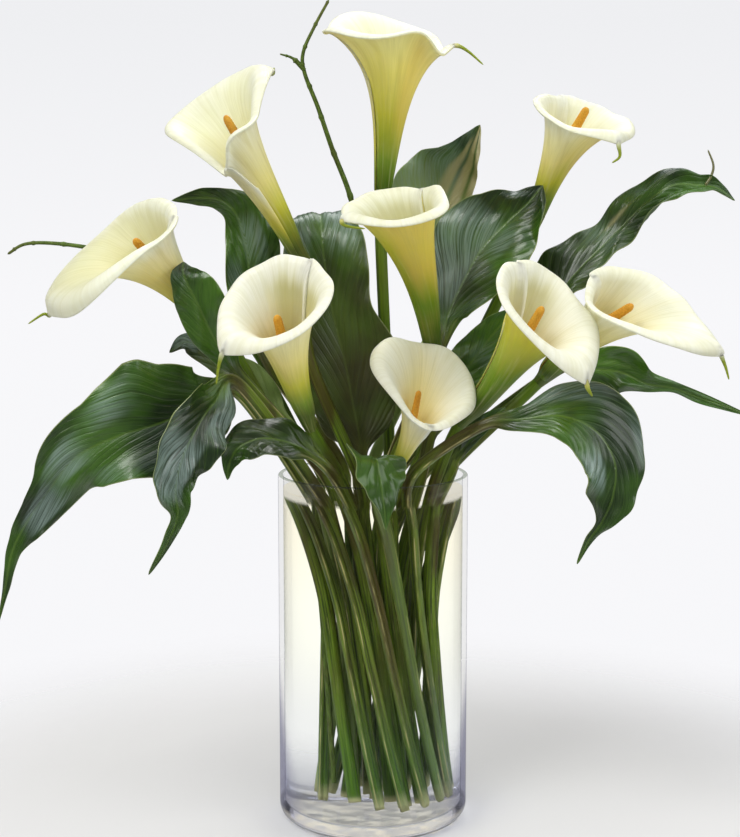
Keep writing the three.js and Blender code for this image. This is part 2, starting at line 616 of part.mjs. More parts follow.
// Materials
const surface = (color, roughness, extra = {}) =>
  new THREE.MeshStandardMaterial({ color, roughness, metalness: 0, ...extra });
const GLASS = surface(0xeef3f6, 0.05, { transparent: true, opacity: 0.3 });
const WATER = surface(0xe8f0ee, 0.05, { transparent: true, opacity: 0.3 });
const SPATHE_COLOUR = surface(0xf4efdc, 0.5);
const SPADIX_COLOUR = surface(0xd99a2b, 0.8);
const STEM_COLOUR = surface(0x5d7f2c, 0.5);
const LEAF_COLOUR = surface(0x23431d, 0.35);
const TWIG_COLOUR = surface(0x5f6a3a, 0.8);

const arrangement = new THREE.Group();
function add(group, name, geometry, material) {
  const mesh = new THREE.Mesh(geometry, material);
  mesh.name = name;
  group.add(mesh);
}

add(arrangement, "vase", vaseGeometry(), GLASS);
const standing = [
  ...Object.values(BLOOMS).map((bloom) => ({ ...bloom, next: afterRim(bloom), radius: FLOWER_STEM_RADIUS })),
  ...Object.values(LEAVES).map((leaf) => ({
    ...leaf, next: vector(leaf.way[0] ?? leaf.blade[0]), radius: LEAF_STALK_RADIUS,
  })),
  ...Object.values(TWIGS).map((twig) => ({ ...twig, next: vector(twig.way[0]), radius: TWIG_RADIUS })),
];
add(arrangement, "water", waterGeometry(standing), WATER);

for (const [name, bloom] of Object.entries(BLOOMS)) {
  const flower = new THREE.Group();
  flower.position.copy(vector(bloom.base));
  flower.rotation.copy(flowerTurn(bloom));
  add(flower, `spathe_${name}`, spatheGeometry(bloom), SPATHE_COLOUR);
  add(flower, `spadix_${name}`, spadixGeometry(bloom), SPADIX_COLOUR);
  arrangement.add(flower);
  add(arrangement, `stem_${name}`, stemGeometry(bloom), STEM_COLOUR);
}
for (const [name, leaf] of Object.entries(LEAVES))
  add(arrangement, `leaf_${name}`, leafGeometry(leaf), LEAF_COLOUR);
for (const [name, twig] of Object.entries(TWIGS))
  add(arrangement, `twig_${name}`, twigGeometry(twig), TWIG_COLOUR);

export default arrangement;
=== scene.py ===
# Calla lilies with leaves and two bare twigs in a glass vase: finer pieces, finishes, light and camera
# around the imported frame. The tables are in millimetres, as in the part's source; Blender is in metres.
import bpy
import bmesh
import math
import numpy as np
from mathutils import Matrix, Vector


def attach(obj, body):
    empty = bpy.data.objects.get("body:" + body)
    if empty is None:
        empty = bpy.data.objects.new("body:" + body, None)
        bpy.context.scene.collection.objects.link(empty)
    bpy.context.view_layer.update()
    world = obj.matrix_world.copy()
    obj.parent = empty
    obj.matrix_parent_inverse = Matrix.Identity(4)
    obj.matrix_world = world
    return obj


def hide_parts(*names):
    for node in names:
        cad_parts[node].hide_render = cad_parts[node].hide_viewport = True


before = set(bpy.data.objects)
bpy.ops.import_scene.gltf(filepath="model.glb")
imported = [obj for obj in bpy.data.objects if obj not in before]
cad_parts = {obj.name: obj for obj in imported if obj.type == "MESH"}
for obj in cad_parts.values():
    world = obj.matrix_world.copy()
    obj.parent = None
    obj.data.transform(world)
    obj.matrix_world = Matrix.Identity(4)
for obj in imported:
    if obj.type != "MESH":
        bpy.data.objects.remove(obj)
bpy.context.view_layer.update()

MM = 0.001
VASE_RADIUS = 64
VASE_HEIGHT = 237
GLASS_THICKNESS = 3.5
FLOOR_THICKNESS = 9
OUTER_CORNER = 9
INNER_CORNER = 4
RIM_CORNER = 1.7
VASE_SIDES = 144
WATER_LEVEL = 226
WATER_REACH = 0.1
LONG_CLOUDS = (48, 48, 9)

# The bundle in the vase: three rings of stems that turn together from rim to foot
BUNDLE_TURN = 80
WAIST_HEIGHT = 110
RIM_SPREAD = 0.9
FOOT_SPREAD = 0.25
FOOT_SHIFT = 6
BUNDLE_HEIGHTS = [60, 110, 160, 205, VASE_HEIGHT]
RINGS = [(7.5, 4, -135), (17.5, 9, -90), (27.5, 14, -90)]


def rows_of(columns, plain, table):
    """Rows by the names of their columns, with plain values and what a row says besides at its end."""
    names = columns.split()
    return {key: {**plain, **dict(zip(names, row)), **dict(*row[len(names):])} for key, row in table.items()}


# Blooms, leaves and twigs, shaped as in the part's source. Place is a ring and a place in it, foot the
# height of the cut end, and turns go to the side, the front and round. Seam and tip are length and
# flare there, longer and wider what five lobes add. Form is a leaf's fold and its waves' height and
# number, and its blade has points with two widths, save at the tip. Patches have side and share, from,
# to, and strength.
BLOOMS = rows_of("place foot base turns size seam tip spadix longer wider tail green warm",
                 dict(way=[], between=0, lip=45, rise=2.2, curl=0, bend=[0, 0], dull=(0, 0, 1), gold=None), {
  "top": ([1, 4], 14, [7, 25, 426], [5, 16, -5], 1, [116, 43], [94, 43], [0, 0, 68], [4, 5.5, 16, 11.5, 15],
    [-6.5, 0.5, -17.5, -6.5, -9], [[8, 0, -3], [19, 1, -11]], 1.3, 0, dict(between=12, lip=5, rise=3,
    gold=(-66, 70))),
  "upper_left": ([0, 0], 16, [-52, 0, 389], [-24, 17, 55], 1.08, [65, 22], [119, 43], [7, 12, 96],
    [11, 11, -11.5, -10.5, 16], [5.5, 20, -6, -13.5, 10.5], [[3, -2, 3]], 0.95, 0, dict(way=[[-43, -8, 318]],
    curl=10, bend=[1, 15])),
  "left": ([2, 10], 20, [-107, -10, 338], [-38, 21, 167], 1.13, [75, 72], [109, 94], [0, 5, 80],
    [0, 12, 4, -1.5, 2], [-2.5, -6, 14, -6.5, -7.5], [[3, 0, 3], [15, 2, 4]], 0.85, 0.1, dict(bend=[0, 6],
    dull=(0.4, 0, 400))),
  "front_left": ([1, 8], 14, [-44, -60, 287], [-17, 41, 218], 1.17, [82, 35], [84, 59], [-10, -6, 76],
    [3, 1, 0, 1.5, 3], [0, 0, 4, 1.5, -6.5], [[6, 1, -5], [13, 3, -12]], 0.95, 1, dict(curl=25,
    bend=[-16, -4], dull=(0.9, 180, 95))),
  "centre": ([0, 1], 18, [38, -20, 329], [-8, 20, 232], 1.13, [88, 27], [90, 46], [1, -4, 62],
    [9, 14, 1.5, 5.5, 4], [-1, 9, -1.5, -9, 14], [[-1, 3, -3], [-7, 12, -6]], 1.85, 0.2, dict(bend=[2, -9],
    dull=(0.6, 0, 400), gold=(10, 150))),
  "front": ([1, 0], 14, [14, -50, 248], [29, 35, 118], 0.68, [78, 80], [126, 69], [20, 3, 53],
    [6.5, 1, -1.5, -5.5, 6], [11.5, 2.5, 3.5, -10.5, -7], [[-4, -3, -2]], 0.9, 0.9, dict(curl=7,
    bend=[32, -6])),
  "right_front": ([2, 2], 15, [67.5, -37.5, 287], [36, 28, -38], 1.25, [78, 44], [80, 88], [-8, -3, 85],
    [2, 1.5, 0.5, 1, 1], [5.5, 0, 4, 7, 3.5], [[6, 3, -3]], 2.3, 0.8, dict(curl=24, bend=[-11, -4],
    dull=(0.75, 180, 100))),
  "right": ([2, 4], 14, [119.5, 3, 307], [37, 37, -15], 1.25, [70, 73], [90, 26], [10, -5, 86],
    [6, -0.5, 1.5, 2.5, -6], [6.5, -14, 0, -1, 6.5], [[7, -1, -3], [14, -2, -7]], 0.9, 0.5, dict(curl=31,
    bend=[12, -5])),
  "upper_right": ([1, 3], 22, [112, 35, 412], [16, 23, -63], 1.17, [69, 66], [74, 100], [5, 8, 80],
    [6, 3.5, -2, 0, 3], [-2, -6.5, -5, 1, -3.5], [[4, 1, -6], [4, -3, -11]], 0.85, 0.1, dict(curl=3,
    bend=[4, 6], gold=(20, 60))),
})

# shine patches are painted sheen; dry patches are the leaves' own cream
LEAVES = rows_of("place foot face form blade", dict(way=[], tone=0, crumple=1, dry=[], shine=[]), {
  "left_long": ([2, 11], 16, [0.1, -0.8, 0.6], [10, 2.5, 3], [[-89, -25, 294, 5, 5], [-109, -42, 288, 26, 25],
    [-136, -58, 278, 46, 37], [-164, -66, 270, 36, 30], [-189, -66, 257, 25, 25], [-208, -62, 234, 13, 19],
    [-223, -58, 213, 8, 14], [-233, -55, 194, 4, 6], [-239, -52, 169, 1.5, 3], [-245, -50, 144]],
    dict(crumple=1.5, shine=[(0.3, 0.85, 0.29, 0.36, 0.7), (-0.3, 0.6, 0.43, 0.52, 0.8),
    (-0.75, 0.4, 0.53, 0.67, 0.85), (-0.95, -0.55, 0.34, 0.43, 0.4)])),
  "left_front": ([2, 12], 14, [-0.2, -0.8, 0.5], [14, 2, 3], [[-87, -45, 302, 3, 3], [-101, -68, 292, 16, 16],
    [-111, -82, 277, 20, 21], [-119, -90, 259, 23, 18], [-123, -92, 241, 16, 11], [-122, -92, 225, 6, 7],
    [-128, -90, 209, 4, 4], [-141, -88, 186]], dict(crumple=1.3,
    shine=[(-0.5, 0.95, 0.34, 0.62, 0.95), (-1.1, -0.3, 0, 0.27, 0.85)])),
  "upper_left": ([2, 8], 15, [0, -1, 0.2], [12, 1.5, 2], [[-67, 20, 303, 5, 5], [-76, 30, 334, 16, 16],
    [-84, 36, 365, 22, 19], [-88, 38, 392, 22, 15], [-94, 34, 411, 17, 9], [-105, 28, 420, 9, 7],
    [-119, 22, 421, 6, 5], [-135, 16, 419]], dict(shine=[(-0.1, 0.6, 0.36, 0.52, 0.7),
    (-0.9, -0.3, 0.26, 0.36, 0.6)])),
  "centre_left": ([0, 3], 20, [0, -1, 0], [8, 1.5, 2], [[-8, 10, 249, 8, 8], [-10, 13, 264, 23, 22],
    [-14, 15, 284, 34, 28], [-19, 17, 310, 39, 28], [-27, 20, 342, 27, 31], [-32, 22, 372, 29, 29],
    [-35, 26, 396, 28, 25], [-36, 42, 409, 19, 18], [-38, 64, 405, 8, 8], [-40, 80, 394]],
    dict(tone=0.75, crumple=0.8, shine=[(0.1, 0.85, 0.62, 0.86, 0.65), (-1.1, -0.3, 0.6, 0.8, 0.35)])),
  "back_top": ([2, 7], 17, [0.1, -1, 0], [24, 2.5, 4], [[40, 36, 328, 5, 5], [40, 52, 361, 13, 15],
    [43, 62, 393, 16, 30], [48, 66, 418, 23, 36], [56, 64, 438, 21, 32], [65, 60, 454, 13, 13],
    [74, 56, 471]], dict(tone=-1, crumple=2.2, dry=[(0.26, 0.62, 0.3, 1.1, 1),
    (0.76, 1.1, 0.2, 1.1, 1), (-0.16, 0.1, 0.45, 0.9, 0.8)], shine=[(-1.1, 0.4, 0.2, 0.95, 0.5)])),
  "centre_right": ([0, 2], 14, [-0.2, -1, 0.1], [14, 2, 3], [[44, 5, 319, 5, 5], [51, 14, 343, 15, 16],
    [62, 20, 366, 27, 28], [74, 22, 387, 35, 35], [91, 20, 405, 31, 25], [104, 18, 417, 20, 14],
    [114, 17, 429]], dict(shine=[(-0.95, 0, 0.2, 0.62, 0.7), (0.1, 0.45, 0.5, 0.66, 0.5)])),
  "right_upper": ([2, 6], 14, [-0.2, -0.8, 0.6], [16, 2.5, 4], [[116, 15, 338, 5, 5], [128, 18, 358, 13, 25],
    [139, 20, 372, 16, 27], [154, 22, 387, 15, 20], [168, 22, 401, 13, 18], [184, 20, 417, 12, 16],
    [201, 18, 429, 14, 15], [219, 18, 429, 8, 7], [231, 18, 427, 3, 5], [243, 18, 419]],
    dict(tone=0.3, crumple=1.6, dry=[(-0.46, -0.36, 0.41, 0.5, 0.8)], shine=[(-1.1, 0.7, 0.33, 0.42, 0.35)],
    tendril=[[223, 18, 429], [227, 18, 436], [228, 18, 443], [224, 18, 453]])),
  "left_inner": ([1, 7], 15, [-0.3, -1, 0.3], [10, 1, 2], [[-83, -14, 298, 4, 4], [-96, -30, 317, 9, 8],
    [-105, -40, 336, 17, 14], [-112, -46, 353, 18, 15], [-118, -50, 366, 16, 11], [-121, -49, 374, 9, 8],
    [-121, -44, 380]]),
  "left_back": ([1, 6], 18, [0, -1, 0.4], [10, 1, 2], [[-58, 17, 268, 4, 4], [-72, 18, 283, 12, 11],
    [-88, 19, 298, 14, 12], [-104, 22, 309, 10, 9], [-118, 25, 319, 10, 9], [-129, 26, 323, 6, 6],
    [-139, 24, 316]], dict(tone=-0.6, shine=[(-0.5, 1.1, 0.7, 0.95, 0.95)])),
  "right_drop": ([2, 1], 13, [0, -0.7, 0.7], [10, 2, 3], [[71, -52, 276, 4, 4], [93, -63, 281, 12, 10],
    [119, -70, 284, 17, 22], [140, -74, 275, 22, 31], [152, -76, 255, 25, 21], [151, -76, 234, 20, 15],
    [145, -74, 218, 5, 8], [137, -72, 205, 3, 3], [130, -70, 189]], dict(way=[[38, -54, 256]],
    shine=[(-1.1, -0.5, 0.17, 0.32, 0.75), (0.35, 0.9, 0.42, 0.6, 0.95), (-1.1, -0.75, 0.42, 0.5, 0.6)])),
  "right_tail": ([2, 5], 18, [0, -0.8, 0.6], [14, 2, 3], [[127, 22, 305, 5, 5], [149, 22, 305, 13, 13],
    [169, 21, 303, 16, 18], [187, 20, 295, 6, 10], [205, 20, 292, 3, 5], [222, 19, 286, 4, 4],
    [240, 18, 280, 3, 2], [258, 17, 273]], dict(crumple=1.5)),
  "front_tip": ([2, 0], 14, [0, 0.4, 1], [10, 1.5, 2], [[-1, -57, 247, 4, 4], [0, -64, 255, 15, 6],
    [2, -72, 256, 25, 21], [4, -77, 246, 18, 19], [6, -79, 231, 8, 9], [8, -80, 213]],
    dict(tone=-0.15)),
  "left_low": ([2, 13], 14, [0, -0.6, 0.8], [12, 1.5, 3], [[-34, -50, 252, 4, 4], [-52, -54, 264, 14, 14],
    [-71, -58, 268, 15, 14], [-85, -62, 263, 13, 12], [-91, -63, 254, 6, 6], [-93, -62, 242]],
    dict(tone=0.3)),
  "right_low": ([2, 3], 15, [0, -1, 0.3], [10, 1, 2], [[55, -9, 248, 4, 4], [62, -11, 257, 4, 10],
    [70, -13, 266, 4, 9], [78, -15, 275, 4, 6], [88, -15, 283]]),
  "centre_low": ([1, 2], 16, [0, -1, 0.2], [12, 1, 2], [[40, -8, 270, 5, 5], [54, 0, 294, 15, 15],
    [68, 4, 314, 16, 16], [83, 6, 333, 11, 11], [98, 6, 349]], dict(tone=0.3,
    shine=[(-0.3, 0.9, 0.5, 0.62, 0.4)])),
})

TWIGS = {
  "top": dict(place=[1, 5], foot=45, way=[[-6, 44, 320], [-10, 56, 380], [-15, 60, 419], [-28, 60, 454],
    [-38, 60, 483], [-47, 60, 506], [-48, 60, 520], [-40, 60, 538], [-30, 60, 556]], shoot=[[-47, 60, 508],
    [-55, 59, 516], [-64, 58, 519]]),
  "left": dict(place=[2, 9], foot=30, way=[[-92, 34, 330], [-151, 24, 378], [-178, 20, 385], [-211, 20, 390],
    [-234, 20, 390], [-247, 20, 383]]),
}


def smooth(low, high, value):
    t = np.clip((value - low) / (high - low), 0, 1)
    return t * t * (3 - 2 * t)


def unit(rows):
    return rows / np.linalg.norm(rows, axis=-1, keepdims=True)


# Curves and frames

def bundle_point(place, height):
    radius, places, first = RINGS[place[0]]
    above = max(0, (height - WAIST_HEIGHT) / (VASE_HEIGHT - WAIST_HEIGHT))
    below = max(0, (WAIST_HEIGHT - height) / WAIST_HEIGHT)
    reach = radius * (1 + RIM_SPREAD * above ** 3 + FOOT_SPREAD * below ** 2)
    downward = 1 - height / VASE_HEIGHT
    angle = math.radians(first + 360 * place[1] / places + BUNDLE_TURN * downward)
    return [FOOT_SHIFT * downward + reach * math.cos(angle), reach * math.sin(angle), height]


def bundle_points(standing):
    return [bundle_point(standing["place"], height) for height in [standing["foot"]] + BUNDLE_HEIGHTS]


def curve_through(points, numbers):
    """Points and directions on a smooth curve, read by the given points' own numbering."""
    points = np.asarray(points, float)
    last = len(points) - 1
    numbers = np.clip(np.asarray(numbers, float), 0, last)
    first = np.minimum(numbers.astype(int), last - 1)
    t = (numbers - first)[:, None]
    ends = np.vstack([2 * points[0] - points[1], points, 2 * points[-1] - points[-2]])
    a, b, c, d = (ends[first + k] for k in range(4))
    slope = (c - a) / 2
    bow = a - 2.5 * b + 2 * c - 0.5 * d
    twist = 1.5 * (b - c) + 0.5 * (d - a)
    return b + t * (slope + t * (bow + t * twist)), slope + t * (2 * bow + 3 * t * twist)


def frames_along(points, coarse, side, start, numbers):
    """Frames settled at the coarse numbers, as in the part's source, and blended between them."""
    ways = unit(curve_through(points, coarse)[1])
    normals = np.empty_like(ways)

    def settle(i, wanted):
        normals[i] = unit(wanted - ways[i] * np.dot(wanted, ways[i]))

    settle(start, np.asarray(side, float))
    for i in range(start + 1, len(ways)):
        settle(i, normals[i - 1])
    for i in range(start - 1, -1, -1):
        settle(i, normals[i + 1])
    spots, ways = curve_through(points, numbers)
    ways = unit(ways)
    normal = np.stack([np.interp(numbers, coarse, normals[:, k]) for k in range(3)], axis=1)
    normal = unit(normal - ways * np.sum(normal * ways, axis=1, keepdims=True))
    return spots, ways, normal, np.cross(ways, normal)


def round_off(t, span, reach):
    """The last span of the steps runs round an edge: how far they have come, and how thick it is."""
    turn = np.clip((t - (1 - span)) / span, 0, 1) * math.pi / 2
    body = np.minimum(t / (1 - span), 1) * (1 - reach)
    return body + reach * np.sin(turn), np.cos(turn)


def rounded(x):
    return np.sqrt(np.clip(1 - x ** 2, 0, 1))


def thread_ends(v):
    return np.sqrt(np.clip(1 - smooth(0.94, 1, v), 0, 1)) * smooth(-0.02, 0.04, v)


# Modelling

def only(*pieces):
    bpy.ops.object.select_all(action="DESELECT")
    for piece in pieces:
        piece.select_set(True)
    bpy.context.view_layer.objects.active = pieces[0]


def named(name):
    piece = bpy.context.object
    piece.name = piece.data.name = name
    return piece


def close_and_leave(reach):
    """Joins points nearer than reach, turns the faces outward and leaves edit mode."""
    bpy.ops.mesh.select_all(action="SELECT")
    bpy.ops.mesh.remove_doubles(threshold=reach * MM)
    bpy.ops.mesh.normals_make_consistent(inside=False)
    bpy.ops.object.mode_set(mode="OBJECT")


def shaped_grid(name, columns, rows, place):
    """A grid primitive whose points are moved by place(u, v); it is closed and turned outward."""
    bpy.ops.mesh.primitive_grid_add(x_subdivisions=columns, y_subdivisions=rows, size=1)
    piece = named(name)
    mesh = piece.data
    flat = np.empty(len(mesh.vertices) * 3)
    mesh.vertices.foreach_get("co", flat)
    u, v = np.round(flat.reshape(-1, 3)[:, :2] + 0.5, 6).T
    points, values = place(u, v)
    mesh.vertices.foreach_set("co", (points * MM).ravel())
    for key, value in values.items():
        layer = mesh.attributes.new(key, "FLOAT", "POINT")
        layer.data.foreach_set("value", np.ascontiguousarray(np.broadcast_to(value, u.shape), np.float32))
    bpy.ops.object.mode_set(mode="EDIT")
    close_and_leave(0.002)
    bpy.ops.object.shade_smooth()
    return piece


def join(name, *pieces):
    only(*pieces)
    bpy.ops.object.join()
    return named(name)


def tube(name, columns, rows, points, radius_at, values_at, numbers_at=None, tip=None):
    """A round body along points: numbers and radii are given for each row, 0 to 1."""
    def place(u, v):
        row, index = np.unique(v, return_inverse=True)
        last = len(points) - 1
        numbers = numbers_at(row) if numbers_at else last * row
        coarse = np.linspace(0, last, 4 * last + 1)
        spots, ways, normal, across = frames_along(points, coarse, (0.02, -1, 0.1), 0, numbers)
        if tip is not None:
            spots = spots + tip(row)[:, None] * ways
        theta = 2 * math.pi * u
        radius = radius_at(numbers[index], theta, v)[:, None]
        around = across[index] * np.cos(theta)[:, None] + normal[index] * np.sin(theta)[:, None]
        return spots[index] + radius * around, values_at(numbers[index], theta, v)
    return shaped_grid(name, columns, rows, place)


# Spathes: one rolled sheet each, as in the part's source, with a rounded and slightly rolled rim

FOOT_RADIUS = 4.9
FIRST_SLOPE = 5
LIP_FROM = 0.86
CURL_FROM, CURL_WIDTH = 0.6, 0.6
POINT, POINT_WIDTH = 14, 0.3
LOBES = [(0, 0.4), (65, 0.6), (-65, 0.6), (130, 0.6), (-130, 0.6)]
OVERLAP, OVERLAP_DROP = 30, 0.4
LAYER_GAP = 1.4
BEND_HEIGHT = 80
STEEPEST = 150
PIECES = 48
RIM_ROLL = 40
SHEET, RIM = 0.6, 0.95
STEM_RADIUS = 4
DOME_FROM, DOME_REACH = 0.93, 0.07
NECK = 24
COLLAR, COLLAR_ROWS = 23, 0.16
SEAM_LIMIT = math.pi + math.radians(OVERLAP)


def lobes_at(amounts, angle):
    total = np.zeros_like(angle)
    for amount, (place, width) in zip(amounts, LOBES):
        away = (angle - math.radians(place) + math.pi) % (2 * math.pi) - math.pi
        total = total + amount * np.exp(-(away / width) ** 2)
    return total


def seam_to_tip(bloom, which, angle):
    """The bloom's length (0) or flare (1) at an angle, between those of its seam and its tip."""
    toward_tip = (1 + np.cos(np.minimum(np.abs(angle), math.pi))) / 2
    return bloom["seam"][which] + (bloom["tip"][which] - bloom["seam"][which]) * toward_tip


def spathe_length(bloom, angle):
    away = np.abs(angle)
    length = (seam_to_tip(bloom, 0, angle) + bloom["between"] * np.sin(np.minimum(away, math.pi)) ** 2
              + POINT * np.exp(-away / POINT_WIDTH))
    side, front, turn = bloom["turns"]
    length = length + 0.8 * np.sin(3 * angle + turn) + 0.4 * np.sin(8 * angle + side)
    return length + lobes_at(bloom["longer"], angle)


def spathe_point(bloom, angle, share):
    whole = spathe_length(bloom, angle)
    length = whole * share * (1 - OVERLAP_DROP * smooth(0, math.radians(OVERLAP), np.abs(angle) - math.pi))
    flare = seam_to_tip(bloom, 1, angle) + lobes_at(bloom["wider"], angle)
    radius = FOOT_RADIUS + LAYER_GAP * angle / (2 * math.pi)
    height = np.zeros_like(radius)
    for i in range(PIECES):
        along = length * (i + 0.5) / PIECES
        part = along / whole
        slope = (FIRST_SLOPE + flare * (along / 100) ** bloom["rise"]
                 + bloom["lip"] * smooth(LIP_FROM, 1, part)
                 + RIM_ROLL * smooth(0.95, 1, part)
                 + bloom["curl"] * np.exp(-(angle / CURL_WIDTH) ** 2) * smooth(CURL_FROM, 1, part))
        lean = np.radians(np.minimum(slope, STEEPEST))
        radius = radius + np.sin(lean) * length / PIECES
        height = height + np.cos(lean) * length / PIECES
    bend = (height / BEND_HEIGHT) ** 2
    radius = radius + 0.5 * share ** 3 * np.sin(5 * angle + bloom["turns"][1])
    return bloom["size"] * np.stack([radius * np.cos(angle) + bloom["bend"][0] * bend,
                                     radius * np.sin(angle) + bloom["bend"][1] * bend, height], axis=-1)


def flower_turn(bloom):
    """The turn of the flower: about its axis, then to the front, then to the side."""
    side, front, turn = map(math.radians, bloom["turns"])
    return np.array(Matrix.Rotation(side, 3, "Y") @ Matrix.Rotation(front, 3, "X")
                    @ Matrix.Rotation(turn, 3, "Z"))


def stem_points(bloom):
    axis = flower_turn(bloom)[:, 2]
    base = np.array(bloom["base"], float)
    return bundle_points(bloom) + bloom["way"] + [base - NECK * axis, base - 0.3 * axis]


def stem_radius(bloom, left):
    """The stem's radius at a distance below the foot of the funnel."""
    top = 4.3 * bloom["size"]
    return STEM_RADIUS + (top - STEM_RADIUS) * smooth(NECK, 0, left)


def spathe_piece(name, bloom):
    turn = flower_turn(bloom)
    base = np.array(bloom["base"], float)
    stem = stem_points(bloom)

    def place(u, v):
        out, seam = round_off(np.abs(2 * u - 1), 0.11, 0.03)
        angle = np.sign(2 * u - 1) * out * SEAM_LIMIT
        inside = v < 0.5
        t = 1 - np.abs(2 * v - 1)
        collar = np.clip(1 - t / COLLAR_ROWS, 0, 1)
        share, thick = round_off(np.clip((t - COLLAR_ROWS) / (1 - COLLAR_ROWS), 0, 1), 0.1, 0.008)
        share = 1 - (1 - share) ** 1.15
        middle = spathe_point(bloom, angle, share)
        low, high = np.maximum(0, share - 0.01), np.minimum(1, share + 0.01)
        along = spathe_point(bloom, angle, high) - spathe_point(bloom, angle, low)
        around = spathe_point(bloom, angle + 0.01, share) - spathe_point(bloom, angle - 0.01, share)
        normal = unit(np.cross(along, around))
        half = (SHEET + (RIM - SHEET) * smooth(0.8, 1, share)) * thick * seam
        half = half * np.sqrt(np.clip(1 - collar, 0, 1))
        local = middle + normal * (np.where(inside, 1, -1) * half)[:, None]
        spots = base + local @ turn.T
        # the collar runs down round the stem and sinks into it
        down = collar * COLLAR
        ring, ways = curve_through(stem, len(stem) - 1 - down / NECK)
        spread = (FOOT_RADIUS + LAYER_GAP * angle / (2 * math.pi)) * bloom["size"]
        close = stem_radius(bloom, down) - 0.3 * smooth(0.5, 1, collar)
        ease = 1 - (1 - collar) ** 1.6
        radius = spread - 0.087 * down * (1 - ease) + (close - spread) * ease + np.where(inside, -1, 1) * half
        radial = np.stack([np.cos(angle), np.sin(angle), 0 * angle], axis=1) @ turn.T
        skirt = ring + radial * radius[:, None]
        spots = np.where((collar > 0)[:, None], skirt, spots)
        # painted shade in the throat about one angle, on some blooms a duller colour all round; golden colour
        # on the outside from one angle to another, on the top bloom's tip side partly painted shade
        strength, toward, width = bloom["dull"]
        dull = strength * smooth(width, width / 3, np.abs((np.degrees(angle) - toward + 180) % 360 - 180))
        gold = 0
        if bloom["gold"]:
            first, final = np.radians(bloom["gold"])
            gold = smooth(first - 0.3, first + 0.3, angle) * smooth(final + 0.2, final - 0.6, angle)
            gold = gold * smooth(0.25, 0.5, share)
        return spots, dict(share=share - collar * 0.22, inside=inside * 1.0, around=angle / math.pi,
                           green=bloom["green"], warm=bloom["warm"], dull=dull, gold=gold)

    sheet = shaped_grid(name, 160, 108, place)
    tip = spathe_point(bloom, np.array([0.0]), np.array([1.0]))[0]
    root = spathe_point(bloom, np.array([0.0]), np.array([0.93]))[0]
    points = [base + turn @ p for p in [root, tip] + [tip + way for way in bloom["tail"]]]
    last = len(points) - 1
    widths = [0, 0.6, 1, 1.5, last], [0.5, 1.3, 1.6, 1.15, 0.5]
    tail = tube(name + "_tail", 10, 26, points, lambda n, theta, v: thread_ends(v) * np.interp(n, *widths),
                lambda n, theta, v: dict(share=1, green=bloom["green"], warm=bloom["warm"],
                                         tail=smooth(0.4, 1.6, n)))
    return join(name, sheet, tail)


def spadix_piece(name, bloom):
    turn = flower_turn(bloom)
    base = np.array(bloom["base"], float)
    top = np.array(bloom["spadix"], float)
    local = [np.zeros(3), top * [0.25, 0.25, 0.5], top]
    points = [base + turn @ p for p in local]
    full = 3.05 * min(1, bloom["size"])
    rows = np.linalg.norm(top) / 2.1

    def radius_at(n, theta, v):
        share = 0.88 + 0.12 * smooth(0, 0.7, n) - 0.2 * smooth(1.4, 2, n)
        end = rounded(np.clip(v - 0.95, 0, 1) / 0.05) * smooth(-0.01, 0.02, v)
        bump = np.cos(4 * theta + math.pi * rows * v) * np.cos(4 * theta - math.pi * rows * v)
        return full * share * end + 0.3 * np.sqrt(np.abs(bump)) * end

    return tube(name, 56, 176, points, radius_at, lambda n, theta, v: dict(share=v))


def stem_piece(name, bloom):
    points = stem_points(bloom)
    last = len(points) - 1

    def risen(v):
        return np.clip((v - DOME_FROM) / DOME_REACH, 0, 1)

    def radius_at(n, theta, v):
        left = np.clip(last - n, 0, 1) * NECK
        radius = stem_radius(bloom, left) * (1 + 0.012 * np.cos(9 * theta + 2 * n))
        cut = np.clip(v / 0.016, 0, 1) * np.where(v < 0.02, 0.96, 1)
        return radius * cut * rounded(risen(v))

    return tube(name, 24, 120, points, radius_at,
                lambda n, theta, v: dict(up=n, around=theta, cut=smooth(0.036, 0.02, v),
                                         neck=smooth(last - 2.2, last - 0.4, n)),
                lambda v: np.interp(v, [0, 0.02, DOME_FROM, 1], [0, 0, last, last]),
                lambda v: 5 * bloom["size"] * risen(v))


# Leaves: a round stalk that flattens into the blade along its midrib

BLADE_STEPS = 10
STALK_RADIUS = 3
TIP_WIDTHS = 0.5, 0.5
CALM_WIDTH = 12


def uneven(seed, count, share):
    """A gently broken line from -1 to 1 along a leaf, with a corner here and there."""
    random = np.random.default_rng(seed)
    knots = np.linspace(0, 1, count)
    knots[1:-1] += random.uniform(-0.3, 0.3, count - 2) / count
    return np.interp(share, knots, random.uniform(-1, 1, count))


